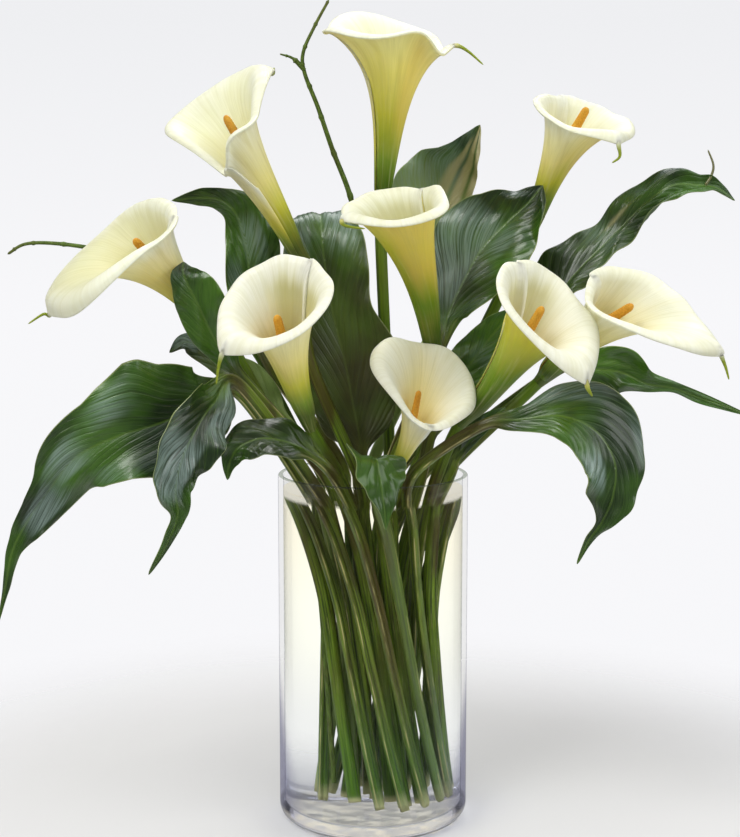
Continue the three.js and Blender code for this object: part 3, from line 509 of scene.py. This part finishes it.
def leaf_piece(name, leaf, seed):
    stalk = bundle_points(leaf) + leaf["way"]
    stations = [(*station, *TIP_WIDTHS)[:5] for station in leaf["blade"]]
    points = stalk + [s[:3] for s in stations]
    start, last = len(stalk), len(points) - 1
    coarse = np.concatenate([np.linspace(0, start - 1, start), [start - 0.5],
                             np.linspace(start, last, BLADE_STEPS + 1)])
    blade_last = last - start
    length = sum(math.dist(a[:3], b[:3]) for a, b in zip(stations, stations[1:]))
    widest = max(max(s[3], s[4]) for s in stations)
    fold_angle, wave_height, wave_count = leaf["form"]
    lift = math.tan(math.radians(fold_angle))
    crumple = leaf["crumple"]
    random = np.random.default_rng(seed + 50)
    waves = [(random.uniform(1.0, 1.6) * (k + 1), random.uniform(-0.8, 0.8), random.uniform(0, 6.3))
             for k in range(4)]

    def place(u, v):
        row, index = np.unique(v, return_inverse=True)
        numbers = np.interp(row, [0, 0.015, 0.18, 1], [0, 0, start - 0.8, last])
        spots, ways, normal, across = frames_along(points, coarse, leaf["face"], start + 1, numbers)
        halves = curve_through([[s[3], s[4], 0] for s in stations], np.clip(numbers - start, 0, None))[0]
        w = np.where(u < 0.5, 4 * u - 1, 3 - 4 * u)
        upper = np.where(u < 0.5, 1.0, -1.0)
        out, edge = round_off(np.abs(w), 0.1, 0.03)
        side = np.sign(w) * out
        off = np.abs(side)
        along = numbers[index] - start
        share = np.clip(along / blade_last, 0, 1)
        flat = smooth(-0.2, 1, along)
        half = np.maximum(0.5, np.where(side > 0, halves[index, 0], halves[index, 1]))
        end = rounded(np.clip(v - 0.985, 0, 1) / 0.015)
        calm = np.minimum(1, half / CALM_WIDTH)
        # the outline is a little broken, and never wider than the plain one by more than a hair
        ragged = np.where(side > 0, uneven(seed, 11, share), uneven(seed + 1, 11, share))
        wide = 1 - 0.07 * crumple * calm * (1 - ragged) / 2 * 1.6 + 0.02
        cut = np.clip(v / 0.013, 0, 1)
        reach = half * side * wide * end
        ripple = wave_height * side ** 2 * np.sin(math.pi * wave_count * (2 * share + 0.5 * side)) * calm
        ruffle = 1.1 * crumple * calm * off ** 4 * np.sin(
            2 * math.pi * (length / 24) * share + 2.2 * np.sign(side) + 2.0 * np.sin(7 * share + seed))
        folds = sum(a * np.sin(2 * math.pi * (f * share + g * side) + p)
                    for a, (f, g, p) in zip((1.2, 0.9, 0.7, 0.5), waves))
        folds = folds * crumple * calm * np.minimum(1, off * 2.5)
        # side veins leave the midrib at a low angle, run forward along it and arc to the edge
        forward = min(0.55, 2.3 * widest / length)
        phase = length / 12.5 * (share - forward * off ** 0.85 * (1 - 0.3 * share)) + 0.37 * (side > 0)
        ridge = np.abs(np.sin(math.pi * (phase + 0.12 * np.sin(3 * phase))))
        quilt = 0.7 * calm * np.clip(off * 5, 0, 1) * (1 - off ** 6) * ridge ** 0.8
        reach_now = np.abs(reach)
        fold = lift * (np.sqrt(reach_now ** 2 + 1.2) - math.sqrt(1.2))
        rib = np.exp(-(reach / 1.5) ** 2) * (1 - share) ** 0.7 * np.minimum(1, half / 6)
        thick = (0.40 + 0.1 * (1 - off)) * edge
        height = fold + (ripple + ruffle + folds) * end + quilt * end + np.where(
            upper > 0, thick - 0.3 * rib, -thick - 0.95 * rib * edge)
        # the stalk is round with a shallow channel along its upper side
        angle = math.pi / 2 * w
        sheath = 1 + 0.4 * smooth(2.0, 4.6, numbers[index])
        spread = STALK_RADIUS * sheath * np.sin(angle) * cut * (1 - 0.02 * (v < 0.015))
        channel = np.where(upper > 0, 1 - 0.55 * np.exp(-(w / 0.42) ** 2), 1)
        deep = upper * STALK_RADIUS * np.cos(angle) * cut * channel
        sideways = spread + (reach - spread) * flat
        upward = deep + (height - deep) * flat
        spots = spots[index] + across[index] * sideways[:, None] + normal[index] * upward[:, None]
        dry, shine = (patches(leaf[key], share, side) * flat for key in ("dry", "shine"))
        return spots, dict(share=np.where(along < 0, along, share), mid=reach * flat, side=side, vein=phase,
                           upper=(upper + 1) / 2, tone=leaf["tone"] * smooth(0.85, 0.35, share), flat=flat,
                           cut=smooth(0.024, 0.015, v), dry=dry, shine=shine)

    columns = 96 if widest > 18 else 64
    rows = int(np.clip(length / 1.25, 80, 210)) + 40
    piece = shaped_grid(name, columns, rows, place)
    if "tendril" not in leaf:
        return piece
    points = leaf["tendril"]
    top = len(points) - 1
    tendril = tube(name + "_tendril", 8, 24, points,
                   lambda n, theta, v: (1.1 - 0.5 * n / top) * thread_ends(v),
                   lambda n, theta, v: dict(share=0.5, mid=6, side=0.5, vein=0.5, upper=1, tone=1, flat=1,
                                            dry=0.25))
    return join(name, piece, tendril)


def within(low, high, soft, value):
    return smooth(low - soft, low + soft, value) * smooth(high + soft, high - soft, value)


def patches(table, share, side):
    """How far the blade is in one of the table's patches: side from, to, share from, to, strength."""
    level = np.zeros_like(share)
    for low, high, first, final, strength in table:
        patch = strength * within(low, high, 0.08, side) * within(first, final, 0.05, share)
        level = np.maximum(level, patch)
    return level


# Twigs, with a thickening at each bud and a side shoot

def stick(name, columns, rows, points, thick, thin, knots):
    last = len(points) - 1

    def radius_at(n, theta, v):
        radius = np.interp(n / last, [0, 0.42, 0.5, 1], [1.6, 1.7, thick, thin])
        for knot in knots:
            radius = radius + 0.45 * np.exp(-((n - knot) / 0.045) ** 2) * (1 + 0.4 * np.cos(theta + 3 * knot))
        return radius * rounded(smooth(0.985, 1, v)) * np.clip(v / 0.006, 0, 1)

    return tube(name, columns, rows, points, radius_at,
                lambda n, theta, v: dict(up=n / last, around=theta, cut=(v < 0.005) * 1.0),
                lambda v: np.interp(v, [0, 0.01, 1], [0, 0, last]))


def twig_piece(name, twig):
    points = bundle_points(twig) + twig["way"]
    knots = np.arange(5.6, len(points) - 1, 0.83)
    main = stick(name, 14, 300, points, 2.0, 0.95, knots)
    if "shoot" not in twig:
        return main
    return join(name, main, stick(name + "_shoot", 12, 50, twig["shoot"], 1, 0.55, [0.8, 1.5]))


# The vase and its water

def turned(name, radius, bottom, top, carve, rims):
    """A cylinder carved from its top face, its rims rounded: height, radius, size and segments of each."""
    bpy.ops.mesh.primitive_cylinder_add(vertices=VASE_SIDES, radius=radius * MM, depth=(top - bottom) * MM,
                                        location=(0, 0, (bottom + top) / 2 * MM))
    piece = named(name)
    bpy.ops.object.transform_apply()
    bpy.ops.object.mode_set(mode="EDIT")
    bpy.ops.mesh.select_mode(type="FACE")
    bpy.ops.mesh.select_all(action="DESELECT")
    mesh = bmesh.from_edit_mesh(piece.data)
    for face in mesh.faces:
        face.select = face.normal.z > 0.9
    mesh.select_flush(True)
    bmesh.update_edit_mesh(piece.data)
    carve()
    for height, reach, size, segments in rims:
        bpy.ops.mesh.select_mode(type="EDGE")
        bpy.ops.mesh.select_all(action="DESELECT")
        mesh = bmesh.from_edit_mesh(piece.data)
        for edge in mesh.edges:
            edge.select = all(abs(v.co.z - height * MM) < 1e-5 and
                              abs(math.hypot(v.co.x, v.co.y) - reach * MM) < 2e-5 for v in edge.verts)
        mesh.select_flush_mode()
        bmesh.update_edit_mesh(piece.data)
        bpy.ops.mesh.bevel(offset=size * MM, segments=segments, profile=0.5, affect="EDGES",
                           clamp_overlap=False)
    close_and_leave(0.001)
    only(piece)
    bpy.ops.object.shade_smooth_by_angle(angle=math.radians(35))
    return piece


def vase_piece():
    def hollow():
        bpy.ops.mesh.inset(thickness=GLASS_THICKNESS * MM)
        bpy.ops.mesh.extrude_region_move(
            TRANSFORM_OT_translate={"value": (0, 0, (FLOOR_THICKNESS - VASE_HEIGHT) * MM)})

    inner = VASE_RADIUS - GLASS_THICKNESS
    return turned("glass_vase", VASE_RADIUS, 0, VASE_HEIGHT, hollow, [
        (0, VASE_RADIUS, OUTER_CORNER, 8), (FLOOR_THICKNESS, inner, INNER_CORNER, 6),
        (VASE_HEIGHT, VASE_RADIUS, RIM_CORNER, 5), (VASE_HEIGHT, inner, RIM_CORNER, 5)])


def water_piece():
    """The water reaches a hair into the glass, and climbs a little there."""
    def dip():
        for inward, down in ((1.2, 0.8), (1.8, 0.4)):
            bpy.ops.mesh.inset(thickness=inward * MM)
            bpy.ops.transform.translate(value=(0, 0, -down * MM))

    radius, floor = VASE_RADIUS - GLASS_THICKNESS + WATER_REACH, FLOOR_THICKNESS - WATER_REACH
    return turned("vase_water", radius, floor, WATER_LEVEL + 1.2, dip, [(floor, radius, INNER_CORNER, 6)])


# Finishes

def paint(red, green, blue):
    """A colour in everyday 0 to 255 steps, as linear light."""
    return tuple(c / 12.92 if c <= 0.04045 else ((c + 0.055) / 1.055) ** 2.4
                 for c in (red / 255, green / 255, blue / 255)) + (1.0,)


class Nodes:
    """Short calls for the nodes of one tree."""

    def __init__(self, tree):
        self.tree = tree

    def put(self, socket, value):
        if isinstance(value, bpy.types.NodeSocket):
            self.tree.links.new(value, socket)
        else:
            socket.default_value = value

    def node(self, kind, links=(), **settings):
        node = self.tree.nodes.new("ShaderNode" + kind)
        for key, value in settings.items():
            setattr(node, key, value)
        for socket, value in dict(links).items():
            self.put(node.inputs[socket], value)
        return node

    def climb(self, vector):
        return self.node("SeparateXYZ", {"Vector": vector}).outputs["Z"]

    def ramp(self, value, *stops):
        """Colours along a value: each stop has its place and its colour in linear light."""
        node = self.node("ValToRGB", {"Fac": value})
        elements = node.color_ramp.elements
        while len(elements) < len(stops):
            elements.new(0.5)
        for element, (position, colour) in zip(elements, stops):
            element.position = position
            element.color = colour
        return node.outputs["Color"]

    def math(self, operation, *values):
        node = self.node("Math", operation=operation)
        for socket, value in zip(node.inputs, values):
            self.put(socket, value)
        return node.outputs["Value"]

    def blend(self, factor, first, second):
        return self.node("MixShader", {"Fac": factor, 1: first, 2: second}).outputs["Shader"]


class Finish(Nodes):
    """A node material, with the calls that its colours use."""

    def __init__(self, name, **sockets):
        self.material = bpy.data.materials.new(name)
        self.material.use_nodes = True
        super().__init__(self.material.node_tree)
        self.shader = self.tree.nodes["Principled BSDF"]
        self.shade(**sockets)

    def shade(self, **sockets):
        for key, value in sockets.items():
            self.put(self.shader.inputs[key.replace("_", " ")], value)

    def surface(self, shader):
        self.put(self.tree.nodes["Material Output"].inputs["Surface"], shader)

    def attributes(self, *names):
        return [self.node("Attribute", attribute_name=name).outputs["Fac"] for name in names]

    def place(self, scale=(1, 1, 1)):
        spot = self.node("TexCoord").outputs["Object"]
        return self.node("Mapping", {"Vector": spot, "Scale": scale}).outputs["Vector"]

    def spot(self, x, y, z=0.0):
        return self.node("CombineXYZ", {"X": x, "Y": y, "Z": z}).outputs["Vector"]

    def length(self, vector):
        return self.node("VectorMath", {0: vector}, operation="LENGTH").outputs["Value"]

    def noise(self, vector, scale, detail=2.0, roughness=0.5):
        return self.node("TexNoise", {"Vector": vector, "Scale": scale, "Detail": detail,
                                      "Roughness": roughness}).outputs["Fac"]

    def times(self, first, second):
        return self.math("MULTIPLY", first, second)

    def away(self, value, centre=0.0):
        return self.math("ABSOLUTE", self.math("SUBTRACT", value, centre))

    def streaks(self, across, along, third=0.0, scale=1.0, detail=3, roughness=0.6):
        """Noise drawn out along a piece: across and along are each a value and how fast it counts."""
        return self.noise(self.spot(self.times(*across), self.times(*along), third), scale, detail, roughness)

    def between(self, value, low, high, start=0, end=1):
        return self.node("MapRange", {"Value": value, "From Min": low, "From Max": high, "To Min": start,
                                      "To Max": end}, interpolation_type="SMOOTHSTEP").outputs["Result"]

    def colours(self, value, *stops):
        return self.ramp(value, *((position, paint(*colour)) for position, colour in stops))

    def mix(self, factor, a, b):
        node = self.node("Mix", data_type="RGBA")
        self.put(node.inputs["Factor"], factor)
        self.put(node.inputs["A"], paint(*a) if isinstance(a, tuple) else a)
        self.put(node.inputs["B"], paint(*b) if isinstance(b, tuple) else b)
        return node.outputs["Result"]

    def coats(self, colour, *coats):
        """Lays coats over a colour: each begins and is full at two levels of a value, at a strength."""
        for value, low, high, strength, over in coats:
            colour = self.mix(self.between(value, low, high, 0, strength), colour, over)
        return colour

    def done(self, colour, bump, **sockets):
        """Ends a finish with its colour, its bump (height, distance and strength) and what else varies."""
        relief = self.node("Bump", dict(zip(("Height", "Distance", "Strength"), bump)))
        self.shade(Base_Color=colour, Normal=relief.outputs["Normal"], **sockets)
        return self.material


def petal_finish():
    f = Finish("petal", Roughness=0.42, Specular_IOR_Level=0.3, Subsurface_Weight=0.6,
               Subsurface_Radius=(1, 0.98, 0.92), Subsurface_Scale=0.004)
    share, around, green, warm, dull, gold, within, tail = f.attributes(
        "share", "around", "green", "warm", "dull", "gold", "inside", "tail")
    streak = f.streaks((around, 22), (share, 1.6))
    veins = f.streaks((around, 85), (share, 2.5), detail=2, roughness=0.5)
    cloud = f.noise(f.place(), 38, 3, 0.55)
    patch = f.noise(f.place(), 15, 2, 0.5)
    # slanting veins and soft shadows between them, as on a sheet that was rolled
    slant = f.spot(f.math("MULTIPLY_ADD", share, 2.2, f.times(around, 11)), f.times(share, 2.0))
    fold = f.noise(slant, 0.8, 3, 0.5)
    reach = f.math("ADD", share, f.times(f.math("SUBTRACT", streak, 0.5), 0.08))
    # outside: green at the foot, through yellow to cream, with golden patches; the darkest green at the very
    # foot is partly painted shade, and the golden side toward the top bloom's tip is partly painted shade
    outside = f.colours(f.math("DIVIDE", reach, green), (0.0, (54, 92, 4)), (0.13, (104, 144, 8)),
                        (0.32, (204, 204, 62)), (0.55, (248, 234, 148)), (0.8, (251, 244, 194)),
                        (1.0, (247, 249, 228)))
    outside = f.coats(outside, (patch, 0.5, 0.7, 0.225, (220, 170, 60)),
                      (fold, 0.5, 0.34, 0.2025, (176, 160, 76)), (fold, 0.52, 0.8, 0.35, (248, 240, 190)),
                      (reach, 1.02, 0.85, f.times(gold, 0.5), (232, 200, 98)))
    # inside: a throat that pales to the rim, warmer on some blooms than on others; its darkest, deepest part
    # is partly its own colour and partly painted shade
    cool = f.colours(reach, (0.05, (160, 156, 60)), (0.3, (222, 214, 140)), (0.55, (234, 232, 182)),
                     (0.76, (236, 238, 200)), (0.9, (240, 243, 218)))
    rosy = f.colours(reach, (0.05, (212, 160, 56)), (0.3, (254, 216, 122)), (0.52, (252, 230, 166)),
                     (0.7, (248, 241, 210)), (0.84, (247, 248, 228)))
    # painted shade on the throat about one angle, and a duller colour all round on some blooms
    inside = f.coats(f.mix(warm, cool, rosy), (reach, 0.93, 0.8, dull, (190, 186, 132)))
    colour = f.coats(f.mix(within, outside, inside), (veins, 0.6, 0.38, 0.09, (180, 172, 96)),
                     (streak, 0.55, 0.36, 0.09, (176, 176, 96)), (cloud, 0.35, 0.7, 0.10, (226, 210, 150)))
    relief = f.math("ADD", f.times(veins, 0.7), f.math("ADD", fold, streak))
    return f.done(f.mix(tail, colour, (136, 150, 44)), (relief, 0.0006, 0.4),
                  Roughness=f.between(cloud, 0.2, 0.8, 0.36, 0.5))


def spadix_finish():
    f = Finish("spadix_grains", Roughness=0.75, Specular_IOR_Level=0.25, Subsurface_Weight=0.15,
               Subsurface_Scale=0.0015)
    grain, cloud = f.noise(f.place(), 900, 3, 0.6), f.noise(f.place(), 90, 2, 0.5)
    colour = f.coats(f.mix(grain, (168, 104, 18), (236, 178, 66)), (cloud, 0.4, 0.75, 0.4, (230, 190, 84)))
    return f.done(colour, (grain, 0.0004, 0.7))


def aged(f, colour, strand, cloud, foot_from, foot_dark, foot_light, brown_and_shade):
    """A stem's colour made livelier toward the foot, and browner in long clouds higher up: partly the stems'
    own browning, partly painted shade among the crowded stems.
    """
    height = f.climb(f.place())
    foot = f.mix(f.between(strand, 0.3, 0.6), foot_dark, foot_light)
    colour = f.coats(colour, (height, foot_from, 0.03, 0.6, foot))
    return f.coats(colour, (cloud, 0.42, 0.64, f.between(height, 0.05, 0.14, 0, 0.75), brown_and_shade))


def stem_finish():
    f = Finish("flower_stem", Roughness=0.4, Specular_IOR_Level=0.4)
    up, around, neck, cut = f.attributes("up", "around", "neck", "cut")
    streak = f.streaks((around, 2.2), (up, 0.5))
    fine = f.streaks((around, 9), (up, 2.5))
    cloud = f.noise(f.place(LONG_CLOUDS), 1.0, 3, 0.5)
    colour = f.mix(f.between(streak, 0.32, 0.62), (40, 62, 4), (112, 142, 26))
    colour = f.coats(colour, (fine, 0.56, 0.74, 0.6, (200, 204, 116)))
    colour = aged(f, colour, streak, cloud, 0.13, (14, 66, 6), (70, 126, 16), (70, 50, 14))
    colour = f.mix(f.times(neck, 0.8), colour, (96, 130, 14))
    # the cut end and a little above it are cream: partly the cut's own colour, partly painted light gathered
    # in the water at the foot
    return f.done(f.mix(cut, colour, (206, 204, 150)), (fine, 0.0005, 0.5),
                  Roughness=f.between(cloud, 0.2, 0.8, 0.3, 0.5))


def leaf_finish():
    f = Finish("leaf_green", Specular_IOR_Level=0.5, Coat_Weight=0.5, Coat_Roughness=0.22)
    share, mid, tone, side, vein, upper, flat, shine, dry, cut = f.attributes(
        "share", "mid", "tone", "side", "vein", "upper", "flat", "shine", "dry", "cut")
    cloud = f.noise(f.place(), 17, 3, 0.55)
    off, from_midrib = f.away(side), f.away(mid)
    # streaks run with the side veins, and thin pale lines in their grooves
    grain = f.streaks((vein, 5.0), (off, 2.2), side)
    line = f.away(f.math("FRACT", vein), 0.5)
    blade = f.coats(f.mix(f.between(cloud, 0.36, 0.66), (20, 46, 4), (66, 110, 14)),
                    (grain, 0.5, 0.78, 0.35, (88, 124, 34)), (grain, 0.48, 0.25, 0.35, (20, 34, 6)),
                    (line, 0.45, 0.5, 0.12, (112, 140, 60)), (from_midrib, 1.1, 0.35, 0.4, (104, 138, 46)),
                    (off, 0.965, 0.992, 0.55, (176, 188, 120)))
    # stalks are lighter and streaked, with pale lines along their flanks that are partly painted highlight;
    # some blades are browner, and some lighter in painted light
    strand = f.streaks((side, 3), (share, 0.6))
    stalk = f.mix(f.between(strand, 0.32, 0.62), (38, 58, 4), (118, 142, 30))
    long_cloud = f.noise(f.place(LONG_CLOUDS), 1.0, 3, 0.5)
    stalk = aged(f, stalk, strand, long_cloud, 0.12, (16, 70, 8), (58, 120, 14), (78, 56, 18))
    margin = f.between(f.away(off, 0.72), 0.16, 0.02, 0, 0.8)
    fading = f.noise(f.spot(f.times(share, 1.3), tone, side), 1.7, 2, 0.5)
    stalk = f.coats(stalk, (fading, 0.42, 0.6, margin, (218, 210, 140)))
    # browner where the value is above zero, lighter where it is below zero: painted light on leaves that get
    # little of the lamps
    colour = f.coats(f.mix(flat, stalk, blade), (tone, 0, 1, 0.62, (62, 50, 8)),
                     (tone, 0, -1, 0.85, (160, 186, 106)))
    # painted bluish sheen between the side veins, in the patches given for each leaf
    colour = f.mix(f.times(shine, f.between(grain, 0.32, 0.62, 0.15, 0.85)), colour, (142, 164, 158))
    # the stalk's cut end is cream a little past the cut, partly painted light gathered at the foot
    colour = f.mix(cut, f.mix(dry, colour, (196, 190, 140)), (196, 198, 140))
    colour = f.mix(upper, f.mix(0.4, colour, (92, 124, 62)), colour)
    relief = f.math("ADD", f.times(f.between(line, 0.38, 0.5), -0.6), f.times(grain, 1.2))
    return f.done(colour, (relief, 0.0008, 0.5), Roughness=f.between(grain, 0.3, 0.7, 0.30, 0.45))


def twig_finish():
    f = Finish("twig_bark", Roughness=0.6, Specular_IOR_Level=0.3)
    up, around, cut = f.attributes("up", "around", "cut")
    bark = f.streaks((around, 1.5), (up, 60), detail=4, roughness=0.65)
    cloud = f.noise(f.place(), 60, 3, 0.5)
    colour = f.mix(f.between(bark, 0.3, 0.7), (48, 72, 16), (106, 136, 52))
    colour = f.mix(f.between(up, 0.82, 1, 0.1, 0.5), colour, (108, 100, 52))
    colour = f.coats(colour, (cloud, 0.5, 0.75, 0.4, (84, 78, 34)))
    return f.done(f.mix(cut, colour, (190, 178, 130)), (bark, 0.0005, 0.8))


def clear_finish(name, ior, glint):
    """What glass and water share: clear, with a dim gleam, and its height and facing for the rest."""
    f = Finish(name, Roughness=0, IOR=ior, Transmission_Weight=1, Specular_Tint=(glint, glint, glint, 1))
    facing = f.node("LayerWeight", {"Blend": 0.5}).outputs["Facing"]
    return f, f.climb(f.place()), facing, f.node("LightPath").outputs["Is Shadow Ray"]


def glass_finish():
    """Thin walls are seen straight through, greyer at their outlines; only the thick foot bends light."""
    f, height, facing, lamp = clear_finish("clear_glass", 1.5, 0.5)
    wall = f.between(f.length(f.place((1, 1, 0))), (VASE_RADIUS - 8) * MM, (VASE_RADIUS - 5) * MM)
    rim = (VASE_HEIGHT - 1.2) * MM, (VASE_HEIGHT - 0.4) * MM
    foot = (FLOOR_THICKNESS + 3) * MM, (FLOOR_THICKNESS - 2) * MM
    # painted violet shade climbs the sides from the foot, thinner and thinner; painted shade also greys the
    # outlines and darkens the foot where it meets the floor
    inward = f.math("SUBTRACT", facing, f.math("MAXIMUM", f.math("MULTIPLY_ADD", height, 6.3, 0.12), 0.26))
    tint = f.coats((255, 255, 254), (inward, 0.0, 0.4, wall, (209, 209, 222)),
                   (facing, 0.86, 0.99, wall, (214, 214, 219)), (height, *rim, 1, (196, 202, 192)),
                   (height, 0.0055, 0.001, wall, (150, 150, 154)))
    clear = f.node("BsdfTransparent", {"Color": tint}).outputs["BSDF"]
    shine = f.node("BsdfGlossy", {"Color": paint(250, 250, 250), "Roughness": 0.02}).outputs["BSDF"]
    gleam = f.node("LayerWeight", {"Blend": 0.3}).outputs["Fresnel"]
    thin = f.blend(f.times(gleam, 0.12), clear, shine)
    solid = f.blend(f.between(height, *foot, 0, 0.45), thin, f.shader.outputs["BSDF"])
    f.surface(f.blend(lamp, solid, clear))
    return f.material


def water_finish():
    """Water bends what stands in it where it is looked into; lamps shine straight through."""
    f, height, facing, lamp = clear_finish("clear_water", 1.33, 0.1)
    tint = f.mix(f.between(height, 0.13, 0.2), (252, 253, 252), (254, 252, 245))
    # cooler and greyer towards the foot: painted shade
    tint = f.coats(tint, (height, 0.14, 0.05, 1, (239, 241, 248)))
    f.shade(Base_Color=tint)
    clear = f.node("BsdfTransparent", {"Color": tint}).outputs["BSDF"]
    level = f.between(height, (WATER_LEVEL - 5) * MM, (WATER_LEVEL - 1.5) * MM, 0, 0.92)
    edge_on = f.math("MAXIMUM", level, f.between(facing, 0.86, 0.97))
    leaving = f.math("MAXIMUM", lamp, f.node("NewGeometry").outputs["Backfacing"])
    f.surface(f.blend(f.math("MAXIMUM", leaving, edge_on), f.shader.outputs["BSDF"], clear))
    return f.material


# Putting it together

def settle(piece, finish, slot, node):
    piece.data.materials.clear()
    piece.data.materials.append(finish)
    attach(piece, "root")
    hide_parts(node)


petal, grains, green_stem = petal_finish(), spadix_finish(), stem_finish()
green_leaf, bark = leaf_finish(), twig_finish()
for key, bloom in BLOOMS.items():
    settle(spathe_piece("petal_" + key, bloom), petal, "spathe", "spathe_" + key)
    settle(spadix_piece("spike_" + key, bloom), grains, "spadix", "spadix_" + key)
    settle(stem_piece("stalk_" + key, bloom), green_stem, "stem", "stem_" + key)
for seed, (key, leaf) in enumerate(LEAVES.items()):
    settle(leaf_piece("blade_" + key, leaf, 3 * seed), green_leaf, "leaf", "leaf_" + key)
for key, twig in TWIGS.items():
    settle(twig_piece("shoot_" + key, twig), bark, "twig", "twig_" + key)
settle(vase_piece(), glass_finish(), "vase", "vase")
settle(water_piece(), water_finish(), "water", "water")


# Floor, light and camera

def floor_piece():
    bpy.ops.mesh.primitive_circle_add(vertices=96, radius=3.0, fill_type="NGON")
    floor = named("floor")
    f = Finish("floor_paint", Roughness=0.9, Specular_IOR_Level=0.1)
    f.shade(Base_Color=f.mix(f.noise(f.place(), 3, 2, 0.5), (216, 216, 217), (220, 220, 221)))
    distance = f.length(f.place())
    clear = f.node("BsdfTransparent").outputs["BSDF"]
    # seen through the water it ends sooner, and light gathers on it under the vase
    through = f.times(f.node("LightPath").outputs["Is Transmission Ray"], f.between(distance, 0.05, 0.30))
    ends = f.math("MAXIMUM", through, f.between(distance, 0.22, 0.52))
    gathered = f.times(f.between(f.noise(f.place(), 95, 2, 0.5), 0.42, 0.66, 0.1, 1),
                       f.between(distance, 0.063, 0.052))
    glow = f.node("Emission", {"Color": paint(255, 246, 222), "Strength": 0.95}).outputs["Emission"]
    f.surface(f.blend(ends, f.blend(gathered, f.shader.outputs["BSDF"], glow), clear))
    floor.data.materials.append(f.material)


def studio_world():
    """White behind what is seen and seen through, soft for what it lights, and dim in reflections."""
    world = bpy.data.worlds.new("studio")
    bpy.context.scene.world = world
    world.use_nodes = True
    sky = Nodes(world.node_tree)
    path = sky.node("LightPath").outputs

    def background(colour, strength=1.0):
        return sky.node("Background", {"Color": colour, "Strength": strength}).outputs["Background"]

    def by_height(*stops):
        """A grey or coloured sky by how steeply a ray climbs, -1 to 1."""
        climb = sky.climb(sky.node("TexCoord").outputs["Generated"])
        spread = sky.node("MapRange", {"Value": climb, "From Min": -1}).outputs["Result"]
        return background(sky.ramp(spread, *(((at + 1) / 2, colour + (1,)) for at, colour in stops)))

    seen = by_height((-0.06, (0.935, 0.935, 0.955)), (0.1, (0.86, 0.865, 0.885)))
    through = background((1, 0.987, 0.915, 1), 1.1)
    lit = background((1, 0.985, 0.95, 1), 0.44)
    reflected = by_height((-0.1, (0.2, 0.2, 0.2)), (0.25, (0.14, 0.14, 0.14)), (0.5, (0.12, 0.13, 0.14)),
                          (0.68, (0.4, 0.44, 0.5)), (0.95, (1, 1.08, 1.2)))
    shader = sky.blend(path["Is Glossy Ray"], lit, reflected)
    scattered = sky.math("ADD", path["Diffuse Depth"], path["Glossy Depth"])
    shader = sky.blend(sky.math("GREATER_THAN", path["Is Transmission Ray"], scattered), shader, through)
    shader = sky.blend(path["Is Camera Ray"], shader, seen)
    sky.put(sky.tree.nodes["World Output"].inputs["Surface"], shader)


floor_piece()
studio_world()
for name, location, aim, size, watts, colour in (
        ("key_left", (-1, -1.1, 2), 0.25, 1.3, 31, (1, 0.99, 0.97)),
        ("fill_right", (1.5, -0.9, 1.2), 0.25, 1.6, 15, (0.98, 0.99, 1)),
        ("top_back", (0.2, 1, 1.9), 0.3, 1.4, 14, (1, 1, 1))):
    lamp = bpy.data.lights.new(name, "AREA")
    lamp.shape = "DISK"
    lamp.size, lamp.energy, lamp.color = size, watts, colour
    light = bpy.data.objects.new(name, lamp)
    bpy.context.scene.collection.objects.link(light)
    light.location = location
    light.rotation_euler = (Vector((0, 0, aim)) - Vector(location)).to_track_quat("-Z", "Y").to_euler()

lens = bpy.data.cameras.new("photo_view")
lens.lens, lens.sensor_width = 74.2, 36
downward = 7.2
camera = bpy.data.objects.new("photo_view", lens)
camera.location = (-0.002, -1.150, 0.419)
camera.rotation_euler = (math.radians(90 - downward), 0, 0)
bpy.context.scene.collection.objects.link(camera)
bpy.context.scene.camera = camera
bpy.context.scene.view_settings.view_transform = "Standard"
